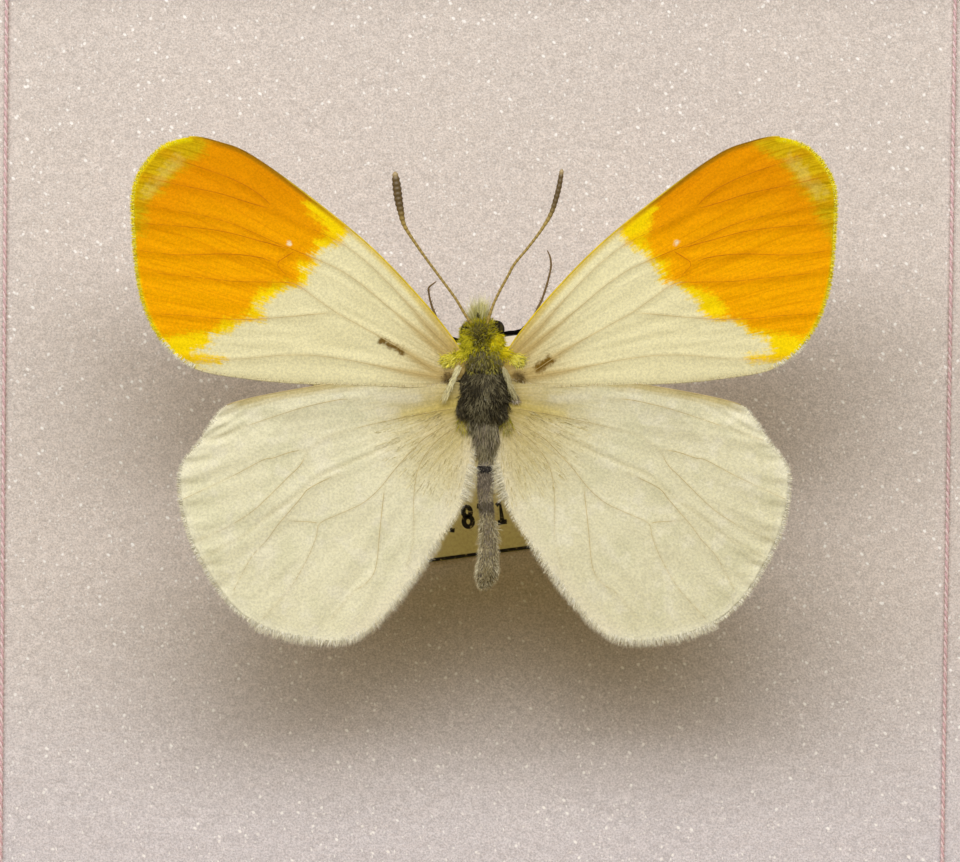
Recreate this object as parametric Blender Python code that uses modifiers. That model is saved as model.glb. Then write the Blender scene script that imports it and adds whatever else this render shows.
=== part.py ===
"""A small insect collection drawer with one spread butterfly.

The wooden drawer is dovetailed at its corners and has a turned pull, a thin bottom panel and a foam
floor. The butterfly stands on a steel pin that goes through its thorax and its data card into the
foam. Two threads between pins mark the column that it stands in.

Metres, +Z up. The drawer's front faces -Y, and the origin is the middle of its underside.
"""
import math

import bmesh
import bpy
from mathutils import Matrix, Vector

MM = 0.001

# The drawer.
LENGTH = 120 * MM
DEPTH = 90 * MM
HEIGHT = 36 * MM
SIDE_THICK = 6 * MM
BACK_THICK = 6 * MM
FRONT_THICK = 8 * MM
EDGE_ROUND = 0.5 * MM
GAP = 0.2 * MM
CUT_PAST = 1 * MM

PANEL_THICK = 3 * MM
PANEL_TONGUE = 3 * MM
FOAM_THICK = 10 * MM

TAILS = 3
TAIL_ROOT_HALF = 3.2 * MM
TAIL_TIP_HALF = 4.2 * MM
FRONT_TAIL = 5.5 * MM

PULL_TENON_RADIUS = 2.4 * MM
PULL_TENON_DEPTH = 5.6 * MM

# The levels that stand on the floor of the drawer.
FOAM_BASE = PANEL_THICK + GAP
FOAM_TOP = FOAM_BASE + FOAM_THICK
WING_LEVEL = FOAM_TOP + 14 * MM

FRONT_INSIDE = FRONT_THICK - DEPTH / 2
BACK_INSIDE = DEPTH / 2 - BACK_THICK
SIDE_INSIDE = LENGTH / 2 - SIDE_THICK

# The place of the specimen, a little in front of the drawer's middle.
PLACE_Y = -5 * MM

# The butterfly, measured from the middle between its wings, in millimetres: +x to its right wing,
# +y to its head and z up from the forewings.
SPECIMEN = Vector((0.25 * MM, PLACE_Y + 2.44 * MM, WING_LEVEL))
FOREWING = (
    (0.9, 1.5), (1.9, 3.1), (3.98, 5.65), (6.89, 8.63), (10.6, 11.65), (13.86, 13.95),
    (15.7, 14.7), (17.55, 15.03), (19.45, 14.39), (20.85, 12.41), (21.0, 9.88), (20.58, 5.83),
    (19.33, 2.98), (17.25, 1.28), (14.15, 0.65), (10.94, 0.36), (6.89, 0.24), (3.62, 0.18),
    (1.4, 0.6),
)
HINDWING = (
    (0.9, -0.9), (4.5, 0.6), (8.08, 0.42), (12.85, -0.27), (15.29, -0.9), (16.09, -1.58),
    (17.07, -3.04), (18.17, -4.64), (18.16, -6.96), (17.28, -9.67), (15.29, -12.8),
    (12.96, -14.35), (9.87, -15.0), (7.46, -14.67), (5.11, -12.47), (2.43, -8.66),
    (1.18, -6.43), (0.46, -3.27),
)
WING_THICK = 0.25
HINDWING_DROP = 0.5
WING_SPAN = 21.0
TIP_RISE = 0.9
BEND_STEP = 3.0

# Ellipsoids of the body: centre, half sizes.
THORAX = ((0.05, -0.5, -0.7), (1.75, 1.9, 1.6))
BODY_LUMPS = (
    ((0.1, -2.7, -0.65), (0.95, 1.9, 0.9)),         # long fur behind the thorax
    ((0.0, 1.55, -0.55), (1.6, 1.15, 1.15)),        # fur in front of the thorax
    ((-0.03, 2.3, -0.4), (1.55, 0.6, 1.0)),         # collar
    ((-1.85, 1.75, -0.1), (0.72, 0.5, 0.5)),        # left collar tuft
    ((1.8, 1.8, -0.1), (0.72, 0.52, 0.5)),          # right collar tuft
    ((-0.19, 3.45, -0.6), (1.15, 0.85, 0.95)),      # head
    ((-1.12, 3.5, -0.65), (0.45, 0.6, 0.6)),        # left eye
    ((0.7, 3.65, -0.65), (0.5, 0.6, 0.6)),          # right eye
    ((-0.33, 4.6, -0.75), (0.62, 1.0, 0.55)),       # face tuft over the palps
)
# The pale strip of scales on each shoulder: x, y, z and radius.
SHOULDERS = (
    ((-1.4, 1.35, 0.35, 0.2), (-1.95, 0.35, 0.3, 0.26), (-2.4, -0.65, 0.1, 0.16)),
    ((1.2, 1.35, 0.35, 0.2), (1.7, 0.4, 0.3, 0.26), (2.1, -0.55, 0.1, 0.16)),
)
# The abdomen: distance back from its joint in the fur, and radius.
ABDOMEN_AT = (0.1, -4.5, -0.85)
ABDOMEN_TURN = math.radians(3)
ABDOMEN_PROFILE = (
    (-0.9, 0.0), (-0.7, 0.35), (0.0, 0.46), (0.35, 0.59), (1.1, 0.52), (2.1, 0.44), (3.8, 0.5),
    (5.2, 0.62), (6.5, 0.71), (7.2, 0.58), (7.6, 0.28), (7.75, 0.0),
)
# Antennae: x, y, z and radius along each.
ANTENNAE = {
    "left": (
        (-0.6, 3.7, -0.2, 0.10), (-1.19, 4.58, 0.0, 0.09), (-1.69, 5.42, 0.15, 0.09),
        (-2.61, 6.67, 0.35, 0.09), (-3.36, 7.68, 0.5, 0.09), (-4.12, 8.76, 0.65, 0.10),
        (-4.74, 9.76, 0.8, 0.14), (-4.95, 10.6, 0.9, 0.26), (-5.1, 11.4, 1.0, 0.3),
        (-5.2, 12.18, 1.1, 0.3), (-5.27, 12.75, 1.15, 0.24), (-5.29, 12.95, 1.15, 0.12),
    ),
    "right": (
        (0.1, 3.7, -0.2, 0.10), (0.48, 4.92, 0.0, 0.09), (0.9, 5.84, 0.15, 0.09),
        (1.4, 6.76, 0.35, 0.09), (1.82, 7.51, 0.5, 0.09), (2.65, 8.51, 0.65, 0.09),
        (3.4, 9.51, 0.8, 0.10), (3.95, 10.43, 0.9, 0.14), (4.24, 11.27, 1.0, 0.17),
        (4.45, 12.1, 1.1, 0.17), (4.58, 12.9, 1.15, 0.15), (4.61, 13.11, 1.15, 0.08),
    ),
}
# Legs: x, y, z and radius from the hip to the claw. The front pair is seen, and the rest is folded
# under the wings.
LEGS = (
    ((-0.9, 1.6, -1.2, 0.24), (-2.95, 4.58, -1.5, 0.16), (-3.2, 5.26, -1.4, 0.13),
     (-3.32, 5.92, -1.3, 0.12), (-3.28, 6.17, -1.25, 0.11), (-2.86, 6.51, -1.3, 0.07)),
    ((1.0, 1.8, -1.2, 0.24), (3.15, 4.92, -1.5, 0.16), (3.49, 5.51, -1.4, 0.13),
     (3.78, 6.43, -1.3, 0.12), (3.99, 7.35, -1.25, 0.11), (3.95, 7.93, -1.25, 0.1),
     (3.78, 8.35, -1.3, 0.07)),
    ((-0.7, 0.1, -1.7, 0.24), (-2.2, 0.5, -3.5, 0.18), (-2.6, -2.2, -4.6, 0.13),
     (-3.0, -4.6, -5.0, 0.09)),
    ((1.0, 0.1, -1.7, 0.24), (2.5, 0.5, -3.5, 0.18), (2.9, -2.2, -4.6, 0.13),
     (3.3, -4.6, -5.0, 0.09)),
    ((-0.6, -1.2, -1.7, 0.24), (-2.3, -2.7, -3.2, 0.18), (-2.9, -5.6, -3.9, 0.13),
     (-3.6, -8.2, -4.1, 0.09)),
    ((0.9, -1.2, -1.7, 0.24), (2.6, -2.7, -3.2, 0.18), (3.2, -5.6, -3.9, 0.13),
     (3.9, -8.2, -4.1, 0.09)),
)

# The pin through the thorax.
PIN_RADIUS = 0.225 * MM
PIN_AT = (SPECIMEN.x + 0.17 * MM, SPECIMEN.y - 0.48 * MM)
PIN_TOP = WING_LEVEL + 0.7 * MM
PIN_IN_FOAM = 8 * MM
PIN_POINT = 0.8 * MM
PIN_CLEAR = 0.1 * MM

# The data card on the foam.
CARD_SIZE = (20 * MM, 13.6 * MM, 0.25 * MM)
CARD_AT = (0.19 * MM, PLACE_Y - 0.91 * MM)
CARD_TURN = math.radians(7.56)
LYING_GAP = 0.1 * MM

# The threads that mark the column, each as x at the specimen's place and the slope of its line, and
# the pins that hold them.
THREAD_RADIUS = 0.15 * MM
THREADS = {"left": (-29.75 * MM, 0.00705), "right": (29.28 * MM, 0.015)}
THREAD_PIN_Y = {"back": 35.5 * MM, "front": -33.5 * MM}
THREAD_PIN_RADIUS = 0.25 * MM
THREAD_PIN_HEAD = 0.8 * MM
THREAD_PIN_RISE = 2.5 * MM
THREAD_PIN_IN_FOAM = 7 * MM
LOOP_RADIUS = 0.55 * MM

TURN_STEPS = 24
BORE_SIDES = 16

parts = bpy.data.collections.new("insect_collection_drawer")
cutters = bpy.data.collections.new("cutters")
limbs = bpy.data.collections.new("butterfly_limbs")


def clear_scene():
    for obj in list(bpy.data.objects):
        bpy.data.objects.remove(obj, do_unlink=True)
    for collection in (parts, cutters, limbs):
        bpy.context.scene.collection.children.link(collection)


def material(name, colour, roughness, metallic=0.0):
    made = bpy.data.materials.new(name)
    made.use_nodes = True
    shader = made.node_tree.nodes["Principled BSDF"]
    shader.inputs["Base Color"].default_value = (*colour, 1.0)
    shader.inputs["Roughness"].default_value = roughness
    shader.inputs["Metallic"].default_value = metallic
    return made


def add_object(name, mesh, collection, finish=None):
    obj = bpy.data.objects.new(name, mesh)
    collection.objects.link(obj)
    if finish is not None:
        mesh.materials.clear()
        mesh.materials.append(finish)
    return obj


def as_guide(obj):
    """Keeps a cutter or a joined shape out of the model itself."""
    obj.hide_render = True
    obj.display_type = "WIRE"
    return obj


def mesh_from(bm, name):
    bmesh.ops.recalc_face_normals(bm, faces=bm.faces[:])
    mesh = bpy.data.meshes.new(name)
    bm.to_mesh(mesh)
    bm.free()
    return mesh


def curve_to_mesh(curve, name):
    """The closed mesh of a filled curve, with its loose caps welded on."""
    obj = bpy.data.objects.new(name, curve)
    bpy.context.scene.collection.objects.link(obj)
    depsgraph = bpy.context.evaluated_depsgraph_get()
    loose = bpy.data.meshes.new_from_object(obj.evaluated_get(depsgraph))
    bm = bmesh.new()
    bm.from_mesh(loose)
    bmesh.ops.remove_doubles(bm, verts=bm.verts[:], dist=0.001 * MM)
    bpy.data.objects.remove(obj, do_unlink=True)
    bpy.data.meshes.remove(loose)
    return bm


def box(name, low, high):
    bm = bmesh.new()
    bmesh.ops.create_cube(bm, size=1.0)
    low, high = Vector(low), Vector(high)
    bmesh.ops.scale(bm, vec=high - low, verts=bm.verts[:])
    bmesh.ops.translate(bm, vec=(low + high) / 2, verts=bm.verts[:])
    return bm


def round_edges(bm, chosen, width=EDGE_ROUND):
    """Rounds the straight edges whose two ends both pass the test."""
    edges = [edge for edge in bm.edges if all(chosen(vert.co) for vert in edge.verts)]
    bmesh.ops.bevel(bm, geom=edges, offset=width, segments=2, profile=0.5, affect="EDGES")


def near(value, target):
    return abs(value - target) < 0.01 * MM


def outline(name, loops, half_thickness, smooth_steps=0):
    """A flat closed outline with thickness, from loops of (x, y) points in metres."""
    curve = bpy.data.curves.new(name, "CURVE")
    curve.dimensions = "2D"
    curve.fill_mode = "BOTH"
    curve.extrude = half_thickness
    curve.resolution_u = max(smooth_steps, 1)
    for loop in loops:
        spline = curve.splines.new("BEZIER" if smooth_steps else "POLY")
        if smooth_steps:
            spline.bezier_points.add(len(loop) - 1)
            for point, (x, y) in zip(spline.bezier_points, loop):
                point.co = (x, y, 0)
                point.handle_left_type = "AUTO"
                point.handle_right_type = "AUTO"
        else:
            spline.points.add(len(loop) - 1)
            for point, (x, y) in zip(spline.points, loop):
                point.co = (x, y, 0, 1)
        spline.use_cyclic_u = True
    return curve_to_mesh(curve, name)


def tube(name, route, bevel_radius):
    """A tube along (x, y, z, thickness factor) points in metres."""
    curve = bpy.data.curves.new(name, "CURVE")
    curve.dimensions = "3D"
    curve.bevel_depth = bevel_radius
    curve.bevel_resolution = 2
    curve.use_fill_caps = True
    spline = curve.splines.new("POLY")
    spline.points.add(len(route) - 1)
    for point, (x, y, z, factor) in zip(spline.points, route):
        point.co = (x, y, z, 1)
        point.radius = factor
    return curve_to_mesh(curve, name)


def turned(name, profile, collection, finish=None, steps=TURN_STEPS):
    """A turned shape about +Z: (radius, height) points from the top to the bottom."""
    mesh = bpy.data.meshes.new(name)
    points = [(radius, 0, height) for radius, height in profile]
    edges = [(i, i + 1) for i in range(len(points) - 1)]
    mesh.from_pydata(points, edges, [])
    obj = add_object(name, mesh, collection, finish)
    screw = obj.modifiers.new("turn", "SCREW")
    screw.axis = "Z"
    screw.steps = steps
    screw.render_steps = steps
    screw.use_merge_vertices = True
    screw.merge_threshold = 0.01 * MM
    screw.use_smooth_shade = True
    return obj


def boolean(obj, other, operation):
    made = obj.modifiers.new(operation.lower(), "BOOLEAN")
    made.operation = operation
    made.solver = "EXACT"
    if isinstance(other, bpy.types.Collection):
        made.operand_type = "COLLECTION"
        made.collection = other
    else:
        made.object = other


def bore(name, x, y, low, high, radius):
    bm = bmesh.new()
    middle = Matrix.Translation((x, y, (low + high) / 2))
    bmesh.ops.create_cone(
        bm, cap_ends=True, segments=BORE_SIDES, radius1=radius, radius2=radius,
        depth=high - low, matrix=middle,
    )
    return as_guide(add_object(name, mesh_from(bm, name), cutters))


# --- the wooden drawer ---------------------------------------------------------------------------

# An outline drawn in (x, y) stands up along the drawer: its x is world Y and its y is world Z.
ALONG_SIDE = Matrix(((0, 0, 1, 0), (1, 0, 0, 0), (0, 1, 0, 0), (0, 0, 0, 1)))


def tail_levels():
    return [HEIGHT * (i + 0.5) / TAILS for i in range(TAILS)]


def side_outline():
    """The side seen from outside: a board with a row of tails at each end."""
    front_shoulder = FRONT_INSIDE + GAP
    back_shoulder = BACK_INSIDE - GAP
    front_tip = front_shoulder - FRONT_TAIL
    back_tip = DEPTH / 2
    back_row = []
    front_row = []
    for level in tail_levels():
        steps = (-TAIL_ROOT_HALF, -TAIL_TIP_HALF, TAIL_TIP_HALF, TAIL_ROOT_HALF)
        for offset, at_tip in zip(steps, (False, True, True, False)):
            back_row.append((back_tip if at_tip else back_shoulder, level + offset))
            front_row.append((front_tip if at_tip else front_shoulder, level + offset))
    bottom = [(front_shoulder, 0), (back_shoulder, 0)]
    top = [(back_shoulder, HEIGHT), (front_shoulder, HEIGHT)]
    return bottom + back_row + top + front_row[::-1]


def socket_loops(shoulder, tip):
    """The tails again, a little larger, running past the shoulder and the tip."""
    inward = CUT_PAST if shoulder > tip else -CUT_PAST
    slope = (TAIL_TIP_HALF - TAIL_ROOT_HALF) / abs(tip - shoulder)
    start_half = TAIL_ROOT_HALF + GAP - slope * CUT_PAST
    end_half = TAIL_TIP_HALF + GAP
    loops = []
    for level in tail_levels():
        loops.append([
            (shoulder + inward, level - start_half),
            (tip, level - end_half),
            (tip, level + end_half),
            (shoulder + inward, level + start_half),
        ])
    return loops


def socket_cutter(name, side, shoulder, tip):
    half = (SIDE_THICK + GAP + CUT_PAST) / 2
    bm = outline(name, socket_loops(shoulder, tip), half)
    across = side * (SIDE_INSIDE - GAP + half)
    bmesh.ops.transform(bm, matrix=Matrix.Translation((across, 0, 0)) @ ALONG_SIDE, verts=bm.verts[:])
    return as_guide(add_object(name, mesh_from(bm, name), cutters))


def rebate_cutter():
    """One slab that takes the rebate for the bottom panel out of all four walls."""
    reach = PANEL_TONGUE
    bm = box(
        "panel_rebate",
        (-SIDE_INSIDE - reach, FRONT_INSIDE - reach, -CUT_PAST),
        (SIDE_INSIDE + reach, BACK_INSIDE + reach, FOAM_BASE),
    )
    return as_guide(add_object("panel_rebate", mesh_from(bm, "panel_rebate"), cutters))


def side_board(name, side, rebate, finish):
    bm = outline(name, [side_outline()], SIDE_THICK / 2)
    across = side * (SIDE_INSIDE + SIDE_THICK / 2)
    bmesh.ops.transform(bm, matrix=Matrix.Translation((across, 0, 0)) @ ALONG_SIDE, verts=bm.verts[:])
    round_edges(bm, lambda co: near(co.z, HEIGHT))
    obj = add_object(name, mesh_from(bm, name), parts, finish)
    boolean(obj, rebate, "DIFFERENCE")


def front_board(rebate, finish):
    face = -DEPTH / 2
    bm = box("front_board", (-LENGTH / 2, face, 0), (LENGTH / 2, FRONT_INSIDE, HEIGHT))
    round_edges(bm, lambda co: near(co.y, face) or near(co.z, HEIGHT))
    obj = add_object("front_board", mesh_from(bm, "front_board"), parts, finish)
    tip = FRONT_INSIDE - FRONT_TAIL
    for side, word in ((-1, "left"), (1, "right")):
        boolean(obj, socket_cutter(f"front_sockets_{word}", side, FRONT_INSIDE, tip), "DIFFERENCE")
    boolean(obj, rebate, "DIFFERENCE")
    mesh = bmesh.new()
    hole = Matrix.Translation((0, face, HEIGHT / 2)) @ Matrix.Rotation(math.pi / 2, 4, "X")
    bmesh.ops.create_cone(
        mesh, cap_ends=True, segments=TURN_STEPS, radius1=PULL_TENON_RADIUS + GAP,
        radius2=PULL_TENON_RADIUS + GAP, depth=2 * (PULL_TENON_DEPTH + 2 * GAP), matrix=hole,
    )
    boolean(obj, as_guide(add_object("pull_hole", mesh_from(mesh, "pull_hole"), cutters)), "DIFFERENCE")


def back_board(rebate, finish):
    face = DEPTH / 2
    bm = box("back_board", (-LENGTH / 2, BACK_INSIDE, 0), (LENGTH / 2, face, HEIGHT))
    round_edges(bm, lambda co: near(co.z, HEIGHT))
    obj = add_object("back_board", mesh_from(bm, "back_board"), parts, finish)
    for side, word in ((-1, "left"), (1, "right")):
        boolean(obj, socket_cutter(f"back_sockets_{word}", side, BACK_INSIDE, face + CUT_PAST), "DIFFERENCE")
    boolean(obj, rebate, "DIFFERENCE")


def bottom_panel(finish):
    reach = PANEL_TONGUE - GAP
    bm = box(
        "bottom_panel",
        (-SIDE_INSIDE - reach, FRONT_INSIDE - reach, 0),
        (SIDE_INSIDE + reach, BACK_INSIDE + reach, PANEL_THICK),
    )
    add_object("bottom_panel", mesh_from(bm, "bottom_panel"), parts, finish)


def pull(finish):
    """A turned pull whose tenon is glued into the front."""
    profile = [
        (0, 11), (2.4, 10.8), (4.3, 10.0), (5.3, 8.6), (5.35, 7.2), (4.4, 5.2), (3.1, 3.6),
        (2.6, 2.5), (2.8, 1.5), (3.7, 1.0), (3.7, GAP / MM), (PULL_TENON_RADIUS / MM, GAP / MM),
        (PULL_TENON_RADIUS / MM, -PULL_TENON_DEPTH / MM), (0, -PULL_TENON_DEPTH / MM),
    ]
    scaled = [(radius * MM, height * MM) for radius, height in profile]
    obj = turned("pull", scaled, parts, finish)
    obj.location = (0, -DEPTH / 2, HEIGHT / 2)
    obj.rotation_euler = (math.pi / 2, 0, 0)


# --- the floor of the drawer ---------------------------------------------------------------------

def foam_bed(bores, finish):
    bm = box(
        "foam_bed",
        (-SIDE_INSIDE + GAP, FRONT_INSIDE + GAP, FOAM_BASE),
        (SIDE_INSIDE - GAP, BACK_INSIDE - GAP, FOAM_TOP),
    )
    obj = add_object("foam_bed", mesh_from(bm, "foam_bed"), parts, finish)
    for cutter in bores:
        boolean(obj, cutter, "DIFFERENCE")


def data_card(pin_bore, finish):
    half = Vector(CARD_SIZE) / 2
    bm = box("data_card", -half, half)
    place = Matrix.Translation((*CARD_AT, FOAM_TOP + LYING_GAP + half.z))
    bmesh.ops.transform(bm, matrix=place @ Matrix.Rotation(CARD_TURN, 4, "Z"), verts=bm.verts[:])
    obj = add_object("data_card", mesh_from(bm, "data_card"), parts, finish)
    boolean(obj, pin_bore, "DIFFERENCE")


def thread_x(word, y):
    start, slope = THREADS[word]
    return start + slope * (y - PLACE_Y)


def thread(word, finish):
    """A thread on the foam with a loop at each end, round its pin."""
    name = f"thread_{word}"
    level = FOAM_TOP + LYING_GAP + THREAD_RADIUS
    ends = (THREAD_PIN_Y["front"] + LOOP_RADIUS, THREAD_PIN_Y["back"] - LOOP_RADIUS)
    steps = 6
    route = []
    for i in range(steps + 1):
        y = ends[0] + (ends[1] - ends[0]) * i / steps
        route.append((thread_x(word, y), y, level, 1.0))
    obj = add_object(name, mesh_from(tube(name, route, THREAD_RADIUS), name), parts, finish)
    for place, y in THREAD_PIN_Y.items():
        bpy.ops.mesh.primitive_torus_add(
            major_radius=LOOP_RADIUS, minor_radius=THREAD_RADIUS, major_segments=16,
            minor_segments=8, location=(thread_x(word, y), y, level),
        )
        loop = bpy.context.object
        loop.name = f"loop_{word}_{place}"
        for collection in loop.users_collection:
            collection.objects.unlink(loop)
        cutters.objects.link(as_guide(loop))
        boolean(obj, loop, "UNION")


def thread_pin(word, place, finish):
    """A pin with a round glass head that holds one end of a thread."""
    head = THREAD_PIN_HEAD
    shaft = THREAD_PIN_RADIUS
    arc = [math.radians(angle) for angle in range(0, 151, 25)]
    profile = [(head * math.sin(angle), head * math.cos(angle)) for angle in arc]
    foot = -THREAD_PIN_RISE - THREAD_PIN_IN_FOAM
    profile += [(shaft, -head), (shaft, foot + PIN_POINT), (0, foot)]
    obj = turned(f"thread_pin_{place}_{word}", profile, parts, finish, steps=12)
    y = THREAD_PIN_Y[place]
    obj.location = (thread_x(word, y), y, FOAM_TOP + THREAD_PIN_RISE)


def specimen_pin(finish):
    foot = FOAM_TOP - PIN_IN_FOAM
    profile = [
        (0, PIN_TOP), (PIN_RADIUS, PIN_TOP), (PIN_RADIUS, foot + PIN_POINT), (0, foot),
    ]
    obj = turned("specimen_pin", profile, parts, finish, steps=12)
    obj.location = (*PIN_AT, 0)


# --- the butterfly -------------------------------------------------------------------------------

def to_specimen(bm):
    """From millimetres about the middle of the wings to the drawer's frame."""
    place = Matrix.Translation(SPECIMEN) @ Matrix.Scale(MM, 4)
    bmesh.ops.transform(bm, matrix=place, verts=bm.verts[:])


def wing(name, points, side, drop):
    """A thin flat wing that bends up a little towards its tip."""
    loop = [(side * x * MM, y * MM) for x, y in points]
    bm = outline(name, [loop], WING_THICK / 2 * MM, smooth_steps=3)
    for i in range(1, int(WING_SPAN / BEND_STEP)):
        bmesh.ops.bisect_plane(
            bm, geom=bm.verts[:] + bm.edges[:] + bm.faces[:], dist=0.001 * MM,
            plane_co=(side * i * BEND_STEP * MM, 0, 0), plane_no=(1, 0, 0),
        )
    for vert in bm.verts:
        reach = abs(vert.co.x) / (WING_SPAN * MM)
        vert.co.z += (TIP_RISE * reach ** 1.5 - drop) * MM
    bmesh.ops.translate(bm, vec=SPECIMEN, verts=bm.verts[:])
    as_guide(add_object(name, mesh_from(bm, name), limbs))


def ellipsoid(name, centre, half_sizes, collection, finish=None):
    bm = bmesh.new()
    bmesh.ops.create_uvsphere(bm, u_segments=16, v_segments=10, radius=1.0)
    place = Matrix.Translation(centre) @ Matrix.Diagonal((*half_sizes, 1))
    bmesh.ops.transform(bm, matrix=place, verts=bm.verts[:])
    to_specimen(bm)
    return add_object(name, mesh_from(bm, name), collection, finish)


def abdomen():
    profile = [(radius * MM, -along * MM) for along, radius in ABDOMEN_PROFILE]
    obj = turned("abdomen", profile, limbs, steps=14)
    obj.location = SPECIMEN + Vector(ABDOMEN_AT) * MM
    obj.rotation_euler = (-math.pi / 2 + ABDOMEN_TURN, 0, 0)
    as_guide(obj)


def limb(name, route):
    thickest = max(point[3] for point in route)
    place = [
        (*(SPECIMEN + Vector(point[:3]) * MM), point[3] / thickest) for point in route
    ]
    bm = tube(name, place, thickest * MM)
    as_guide(add_object(name, mesh_from(bm, name), limbs))


def butterfly(pin_bore, finish):
    """One grown piece: the wings, legs and antennae are joined to the body."""
    obj = ellipsoid("butterfly", *THORAX, parts, finish)
    for side, word in ((-1, "left"), (1, "right")):
        wing(f"forewing_{word}", FOREWING, side, 0)
        wing(f"hindwing_{word}", HINDWING, side, HINDWING_DROP)
    for i, (centre, half_sizes) in enumerate(BODY_LUMPS):
        as_guide(ellipsoid(f"body_lump_{i}", centre, half_sizes, limbs))
    abdomen()
    for word, route in ANTENNAE.items():
        limb(f"antenna_{word}", route)
    for i, route in enumerate(SHOULDERS):
        limb(f"shoulder_{i}", route)
    for i, route in enumerate(LEGS):
        limb(f"leg_{i}", route)
    boolean(obj, limbs, "UNION")
    boolean(obj, pin_bore, "DIFFERENCE")


def build():
    clear_scene()
    wood = material("pale_wood", (0.62, 0.42, 0.24), 0.5)
    ply = material("bottom_board", (0.66, 0.5, 0.32), 0.65)
    foam = material("foam", (0.72, 0.64, 0.61), 0.9)
    steel = material("pin_steel", (0.62, 0.62, 0.64), 0.3, 1.0)
    glass_head = material("pin_head", (0.85, 0.85, 0.83), 0.2)
    card = material("aged_card", (0.6, 0.48, 0.22), 0.85)
    twine = material("pink_thread", (0.75, 0.38, 0.44), 0.8)
    insect = material("butterfly", (0.85, 0.76, 0.44), 0.7)

    rebate = rebate_cutter()
    front_board(rebate, wood)
    back_board(rebate, wood)
    for side, word in ((-1, "left"), (1, "right")):
        side_board(f"side_board_{word}", side, rebate, wood)
    bottom_panel(ply)
    pull(wood)

    foot = FOAM_TOP - PIN_IN_FOAM - PIN_CLEAR
    pin_bore = bore("pin_bore", *PIN_AT, foot, HEIGHT, PIN_RADIUS + PIN_CLEAR)
    bores = [pin_bore]
    for word in THREADS:
        for place, y in THREAD_PIN_Y.items():
            foot = FOAM_TOP - THREAD_PIN_IN_FOAM - PIN_CLEAR
            name = f"thread_pin_bore_{place}_{word}"
            radius = THREAD_PIN_RADIUS + PIN_CLEAR
            bores.append(bore(name, thread_x(word, y), y, foot, HEIGHT, radius))
            thread_pin(word, place, glass_head)
    foam_bed(bores, foam)
    data_card(pin_bore, card)
    for word in THREADS:
        thread(word, twine)
    specimen_pin(steel)
    butterfly(pin_bore, insect)


build()
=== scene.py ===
# %% [markdown]
# # A small insect drawer with one spread butterfly
#
# The drawer is a dovetailed wooden box with a foam floor. A butterfly with orange wing tips stands on a
# steel pin over its data card, and two twisted threads mark the column that it stands in.
#
# This lesson dresses the plain solids of the drawer. Each cell adds one piece or one finish, in the
# order in which a maker would meet them: the light, the wood, the foam, the card, the threads, and
# then the butterfly from its wings to its fur.

import math

import bmesh
import bpy
import numpy as np
from mathutils import Matrix, Vector, noise


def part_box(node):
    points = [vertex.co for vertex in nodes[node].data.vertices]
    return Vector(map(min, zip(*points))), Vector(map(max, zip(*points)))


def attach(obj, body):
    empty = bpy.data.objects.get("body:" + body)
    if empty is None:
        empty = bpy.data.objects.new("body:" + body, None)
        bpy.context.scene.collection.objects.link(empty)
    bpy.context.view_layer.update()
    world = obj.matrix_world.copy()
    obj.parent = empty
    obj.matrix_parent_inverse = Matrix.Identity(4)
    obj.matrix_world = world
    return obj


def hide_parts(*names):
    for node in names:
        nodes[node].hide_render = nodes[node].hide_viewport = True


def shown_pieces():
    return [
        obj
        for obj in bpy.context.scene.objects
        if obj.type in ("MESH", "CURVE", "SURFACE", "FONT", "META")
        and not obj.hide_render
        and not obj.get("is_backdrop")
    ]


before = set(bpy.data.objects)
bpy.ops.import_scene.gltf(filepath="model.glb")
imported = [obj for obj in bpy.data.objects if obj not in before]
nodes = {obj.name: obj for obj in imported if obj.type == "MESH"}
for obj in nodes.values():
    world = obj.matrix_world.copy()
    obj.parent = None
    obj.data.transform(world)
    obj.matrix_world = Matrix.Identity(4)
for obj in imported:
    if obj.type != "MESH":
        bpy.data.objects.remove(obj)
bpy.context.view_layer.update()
MM = 0.001
print("nodes:", ", ".join(sorted(nodes)))

# %% [markdown]
# ## The places that everything else hangs on
#
# The wings spread about 42 mm. Every length of the butterfly below is given in millimetres from the
# middle between its wings: x to its right wing, y to its head and z up from the forewings. The levels
# of the foam and of the card are read from the frame, so nothing has to be fitted.

# %% Places
PLACE_Y = -5.0
WING_LEVEL = 27.2


def middle_of(node):
    """The middle of a node's box as seen from above, in metres."""
    low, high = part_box(node)
    return (low.x + high.x) / 2, (low.y + high.y) / 2


SPECIMEN = Vector((0.25, PLACE_Y + 2.44, WING_LEVEL)) * MM
FOAM_LOW, FOAM_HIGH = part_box("foam_bed")
FOAM_TOP = FOAM_HIGH.z
CARD_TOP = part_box("data_card")[1].z
clear = WING_LEVEL - FOAM_TOP / MM
print("foam top at", round(FOAM_TOP / MM, 2), "mm, wings", round(clear, 2), "mm over it")

# %% [markdown]
# ## Camera
#
# The camera looks straight down from far away, so the wings and the foam under them have almost the
# same scale. A long lens does that: 57 mm of the wings' level fill the picture's width.

# %% Camera
CAMERA_RISE = 280 * MM
SEEN_WIDTH = 57.14 * MM


def linked(name, data):
    """A new object with this data, linked to the scene."""
    made = bpy.data.objects.new(name, data)
    bpy.context.scene.collection.objects.link(made)
    return made


camera_data = bpy.data.cameras.new("overhead_camera")
camera_data.sensor_width = 36
camera_data.lens = camera_data.sensor_width * CAMERA_RISE / SEEN_WIDTH
camera_data.clip_start = 10 * MM
camera_data.clip_end = 10
camera = linked("overhead_camera", camera_data)
camera.location = (0, PLACE_Y * MM, WING_LEVEL * MM + CAMERA_RISE)
bpy.context.scene.camera = camera
print("lens", round(camera_data.lens, 1), "mm")

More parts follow.
